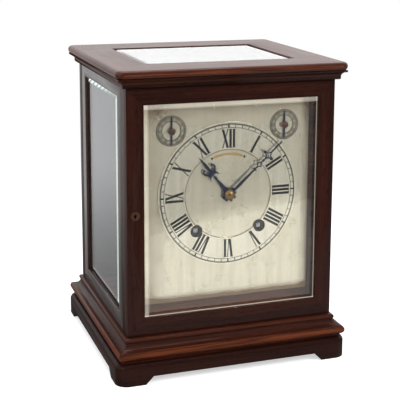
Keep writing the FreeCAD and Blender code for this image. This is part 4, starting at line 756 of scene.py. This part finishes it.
# dark rims let into the winding holes, open underneath: a dark lining that paints the shade inside the holes
rim = [(5.05, -2.4), (5.05, 0.06), (5.45, 0.02), (5.5, 0), (4.6, 0), (4.6, -2.4)]
for index, name in enumerate(("going_winding_arbor", "strike_winding_arbor")):
    middle = halves(*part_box(name))[1]
    mesh = turnedMesh(rim)
    mesh.transform(dialTurn(middle.x, ringFace, middle.z))
    settle("windingRim%d" % index, mesh, "case", finishes["blackenedSteel"])

# slotted screws on the back plate and on the pendulum cock
screw = {"slot": 0.5, "base": 0.5, "top": 0.5, "steps": 32, "twist": 1.3, "seed": 7,
         "plate": {"radius": 2.4, "inset": 7}, "cock": {"radius": 1.4, "out": 6, "up": 6, "face": 2}}


def screwHead(radius):
    sides = []
    for side in (-1, 1):
        start = math.acos(screw["slot"] / 2 / radius)
        turns = [start * (2 * step / screw["steps"] - 1) for step in range(screw["steps"] + 1)]
        sides.append([Vector((side * math.cos(turn), math.sin(turn))) * radius for turn in turns][::side])
    top = plateOf(sides, screw["top"])
    top.transform(Matrix.Translation((0, 0, screw["base"] * mm)))
    base = turnedMesh([(0, 0), (radius, 0), (radius, screw["base"]), (0, screw["base"])])
    for mesh in (top, base):
        mesh.polygons.foreach_set("use_smooth", [False] * len(mesh.polygons))
    head = bpy.data.objects.new("screwHead", merged([base, top]))
    bpy.context.scene.collection.objects.link(head)
    return head


def screwTree():  # one head at each corner of an oblong, each turned its own way
    tree, graph, given = newTree("screwsAtCorners", {
        "Head": "Object", "Wide": "Float", "High": "Float", "Rows": "Int", "Material": "Material"})
    spots = graph.node("GeometryNodeMeshGrid", {}, {
        "Size X": given.other("Wide"), "Size Y": given.other("High"), "Vertices X": 2,
        "Vertices Y": given.other("Rows")})
    head = graph.node("GeometryNodeObjectInfo", {}, {"Object": given}, "Geometry")
    twist = graph.node("FunctionNodeRandomValue", {"data_type": "FLOAT"}, {
        2: -screw["twist"], 3: screw["twist"], "Seed": screw["seed"]}, 1)
    finishTree(graph, given, graph.node("GeometryNodeInstanceOnPoints", {}, {
        "Points": spots, "Instance": head, "Rotation": graph.vector(0, 0, twist)}))
    return tree


screws = screwTree()


def screwSet(radius, wide, high, rows, middle):
    head = screwHead(radius)
    mesh = grow(screws, {"Head": head, "Wide": wide, "High": high, "Rows": rows,
                         "Material": finishes["bluedSteel"]},
                Matrix.Translation(middle) @ Matrix.Rotation(math.radians(-90), 4, "X"))
    bpy.data.objects.remove(head)
    return mesh


backLow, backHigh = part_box("back_plate")
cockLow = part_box("pendulum_cock")[0]
inset = screw["plate"]["inset"] * mm
plateSpan, plateMid = backHigh - backLow, (backLow + backHigh) / 2
screwMeshes = [
    screwSet(screw["plate"]["radius"], plateSpan.x - 2 * inset, plateSpan.z - 2 * inset, 2,
             (plateMid.x, backHigh.y, plateMid.z)),
    screwSet(screw["cock"]["radius"], 2 * screw["cock"]["out"] * mm, 0, 1,
             (plateMid.x, cockLow.y + screw["cock"]["face"] * mm, cockLow.z + screw["cock"]["up"] * mm)),
]
settle("movementScrews", merged(screwMeshes), "case", finishes["bluedSteel"])
print("pieces done")


# a dark silk screen behind the rear glass: a dark sheet that darkens the inside of the case, as painted shade
silk = {"thread": 0.5 * mm, "warp": tone(40, 30, 26), "weft": tone(26, 19, 17), "foldWide": 9 * mm,
        "foldLong": 160 * mm, "weaveShare": 0.3, "foldShare": 0.5, "foldDeep": 4, "relief": 0.05 * mm,
        "rough": 0.75, "sheen": 0.2, "thick": 0.3 * mm, "gap": 0.2 * mm, "less": 1 * mm}


def shadeSilkPaint(graph):
    x, y, z = graph.place()
    warp, weft = x * (math.pi / silk["thread"]), z * (math.pi / silk["thread"])
    weave = warp.sine() * weft.sine()
    folds = graph.noise(graph.vector(x / silk["foldWide"], y, z / silk["foldLong"]), 3)
    share = weave * silk["weaveShare"] + folds * silk["foldShare"]
    return graph.surface({
        "Base Color": graph.blend(share, silk["weft"], silk["warp"]), "Roughness": silk["rough"],
        "Sheen Weight": silk["sheen"],
        "Normal": graph.bump(weave + folds * silk["foldDeep"], silk["relief"], 0.5)})


seatLow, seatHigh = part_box("rear_glass_beads")
seatMid = halves(seatLow, seatHigh)[1]
screen = bmesh.new()
bmesh.ops.create_cube(screen, size=1)
bmesh.ops.scale(screen, verts=screen.verts, vec=(
    seatHigh.x - seatLow.x - silk["less"], silk["thick"], seatHigh.z - seatLow.z - silk["less"]))
bmesh.ops.translate(screen, verts=screen.verts, vec=(
    seatMid.x, seatLow.y - silk["gap"] - silk["thick"] / 2, seatMid.z))
screenMesh = bpy.data.meshes.new("silk")
screen.to_mesh(screenMesh)
screen.free()
settle("rearSilk", screenMesh, "rear_door", newMaterial("darkShadeSilk", shadeSilkPaint))

# stage: a pale floor that ends in front of the clock, white behind, a dim room in front
ground = {
    "tint": (0.8, 0.79, 0.8, 1), "plain": (0.7, 0.7, 0.7, 1), "glow": 0.56, "far": (0.3, 0.8),
    "near": 0.32, "back": 0.88, "fade": (0.05, 0.8), "front": 0.93, "frontFrom": -0.1,
}
white = (1, 1, 1, 1)


def floorPaint(graph):
    ray = graph.node("ShaderNodeLightPath", {}, {}, "Is Camera Ray")
    seen = (ray + ray.other("Is Glossy Ray") + ray.other("Is Transmission Ray")) > 0.5
    lit = graph.node("ShaderNodeBsdfDiffuse", {}, {"Color": ground["tint"]})
    glow = graph.node("ShaderNodeEmission", {}, {"Color": white, "Strength": ground["glow"]})
    both = graph.node("ShaderNodeAddShader", {}, [lit, glow])
    x, y, z = graph.place()
    away = ((x * x + y * y) ** 0.5).soft(*ground["far"])
    bright = graph.node("ShaderNodeEmission", {}, {"Color": white, "Strength": 1.0})
    shown = graph.node("ShaderNodeMixShader", {}, [away, both, bright])
    # as the polish and the dial mirror it: bright before the clock, shaded close behind
    level = ground["near"] + y.soft(*ground["fade"]) * (ground["back"] - ground["near"])
    level = level + (y < ground["frontFrom"]) * (ground["front"] - ground["near"])
    values = {"Color": graph.vector(level, level, level), "Strength": 1.0}
    mirrored = graph.node("ShaderNodeEmission", {}, values)
    shown = graph.node("ShaderNodeMixShader", {}, [ray.other("Glossy Depth") > 0.5, shown, mirrored])
    plain = graph.node("ShaderNodeBsdfDiffuse", {}, {"Color": ground["plain"]})
    return graph.node("ShaderNodeMixShader", {}, [seen, plain, shown])


floor = {"back": 3.0, "side": 3.0, "left": -1.2, "leftBack": 0.1, "frontNear": (63.7, -508.4),
         "frontFar": (309.9, -608.3)}
near, far = (Vector(floor[name]) * mm for name in ("frontNear", "frontFar"))
slope = (far.y - near.y) / (far.x - near.x)
corners = [(x, near.y + slope * (x - near.x)) for x in (floor["left"], floor["side"])]
corners += [(floor["side"], floor["back"]), (-floor["side"], floor["back"]),
            (-floor["side"], floor["leftBack"])]
floorMesh = bpy.data.meshes.new("floor")
floorMesh.from_pydata([(x, y, 0) for x, y in corners], [], [list(range(len(corners)))])
floorPiece = bpy.data.objects.new("floor", floorMesh)
bpy.context.scene.collection.objects.link(floorPiece)
floorMesh.materials.append(newMaterial("paleFloor", floorPaint))

# what is mirrored: a dim room beyond the floor's front edge, a softbox behind
room = {
    "diffuse": 0.5, "dark": 0.37, "right": 0.1, "rightFade": (0.15, 0.7), "ceiling": 0.2,
    "ceilingFade": (0.3, 0.8), "softbox": 0.55, "softboxFade": (0.04, 0.16), "behindFade": (-0.1, 0.15),
}
world = bpy.data.worlds.new("studio")
bpy.context.scene.world = world
world.use_nodes = True
world.node_tree.nodes.clear()
world.cycles.sampling_method = "NONE"
graph = Graph(world.node_tree)
way = graph.node("ShaderNodeTexCoord", {}, {}, "Generated")
toRight = graph.node("ShaderNodeSeparateXYZ", {}, [way])
toBack, toTop = toRight.other("Y"), toRight.other("Z")
behind = toBack.soft(*room["behindFade"])
dim = (room["dark"] + toRight.soft(*room["rightFade"]) * room["right"]
       + toTop.soft(*room["ceilingFade"]) * room["ceiling"])
mirrored = dim + (1 + toTop.soft(*room["softboxFade"]) * room["softbox"] - dim) * behind
path = graph.node("ShaderNodeLightPath", {}, {}, "Is Camera Ray")
bounced = (path.other("Glossy Depth") + path.other("Diffuse Depth")) > 0.5
straight = path.most(path.other("Is Transmission Ray") * (1 - bounced))
spread = path.other("Diffuse Depth") > 0.5
level = straight + (1 - straight) * (spread * room["diffuse"] + (1 - spread) * mirrored)
back = graph.node("ShaderNodeBackground", {}, {"Color": white, "Strength": level})
graph.node("ShaderNodeOutputWorld", {}, {"Surface": back})

lamps = {
    "key": {"at": (0.75, -1.15, 1.0), "size": 0.55, "power": 14},
    "fill": {"at": (-1.2, -0.7, 0.8), "size": 0.9, "power": 8},
    "top": {"at": (0.0, 0.1, 1.5), "size": 0.9, "power": 12},
}
lampsAim = Vector((0, 0, 0.14))
for name, lamp in lamps.items():
    light = bpy.data.lights.new(name, "AREA")
    light.size, light.energy = lamp["size"], lamp["power"]
    holder = bpy.data.objects.new(name, light)
    holder.location = lamp["at"]
    holder.rotation_euler = (lampsAim - holder.location).to_track_quat("-Z", "Y").to_euler()
    holder.visible_camera = False
    holder.visible_glossy = name != "key"
    bpy.context.scene.collection.objects.link(holder)

# the photograph's view, from the clock's left and above, with the lens shifted as its uprights show
shot = {"eye": (-315.2, -946.3, 393.7), "turn": 20.22, "tilt": 10.2, "roll": 0.5, "focal": 1081.2,
        "centre": (234.0, 114.3), "pixels": 400}
lens = bpy.data.cameras.new("view")
lens.sensor_width = 36
lens.lens = lens.sensor_width * shot["focal"] / shot["pixels"]
lens.shift_x = 0.5 - shot["centre"][0] / shot["pixels"]
lens.shift_y = shot["centre"][1] / shot["pixels"] - 0.5
eye = bpy.data.objects.new("view", lens)
turns = ((-shot["turn"], "Z"), (90 - shot["tilt"], "X"), (shot["roll"], "Z"))
turned = Matrix.Identity(4)
for angle, axis in turns:
    turned = turned @ Matrix.Rotation(math.radians(angle), 4, axis)
eye.matrix_world = Matrix.Translation(Vector(shot["eye"]) * mm) @ turned
bpy.context.scene.collection.objects.link(eye)
bpy.context.scene.camera = eye
bpy.context.scene.view_settings.view_transform = "Standard"
print("stage done")
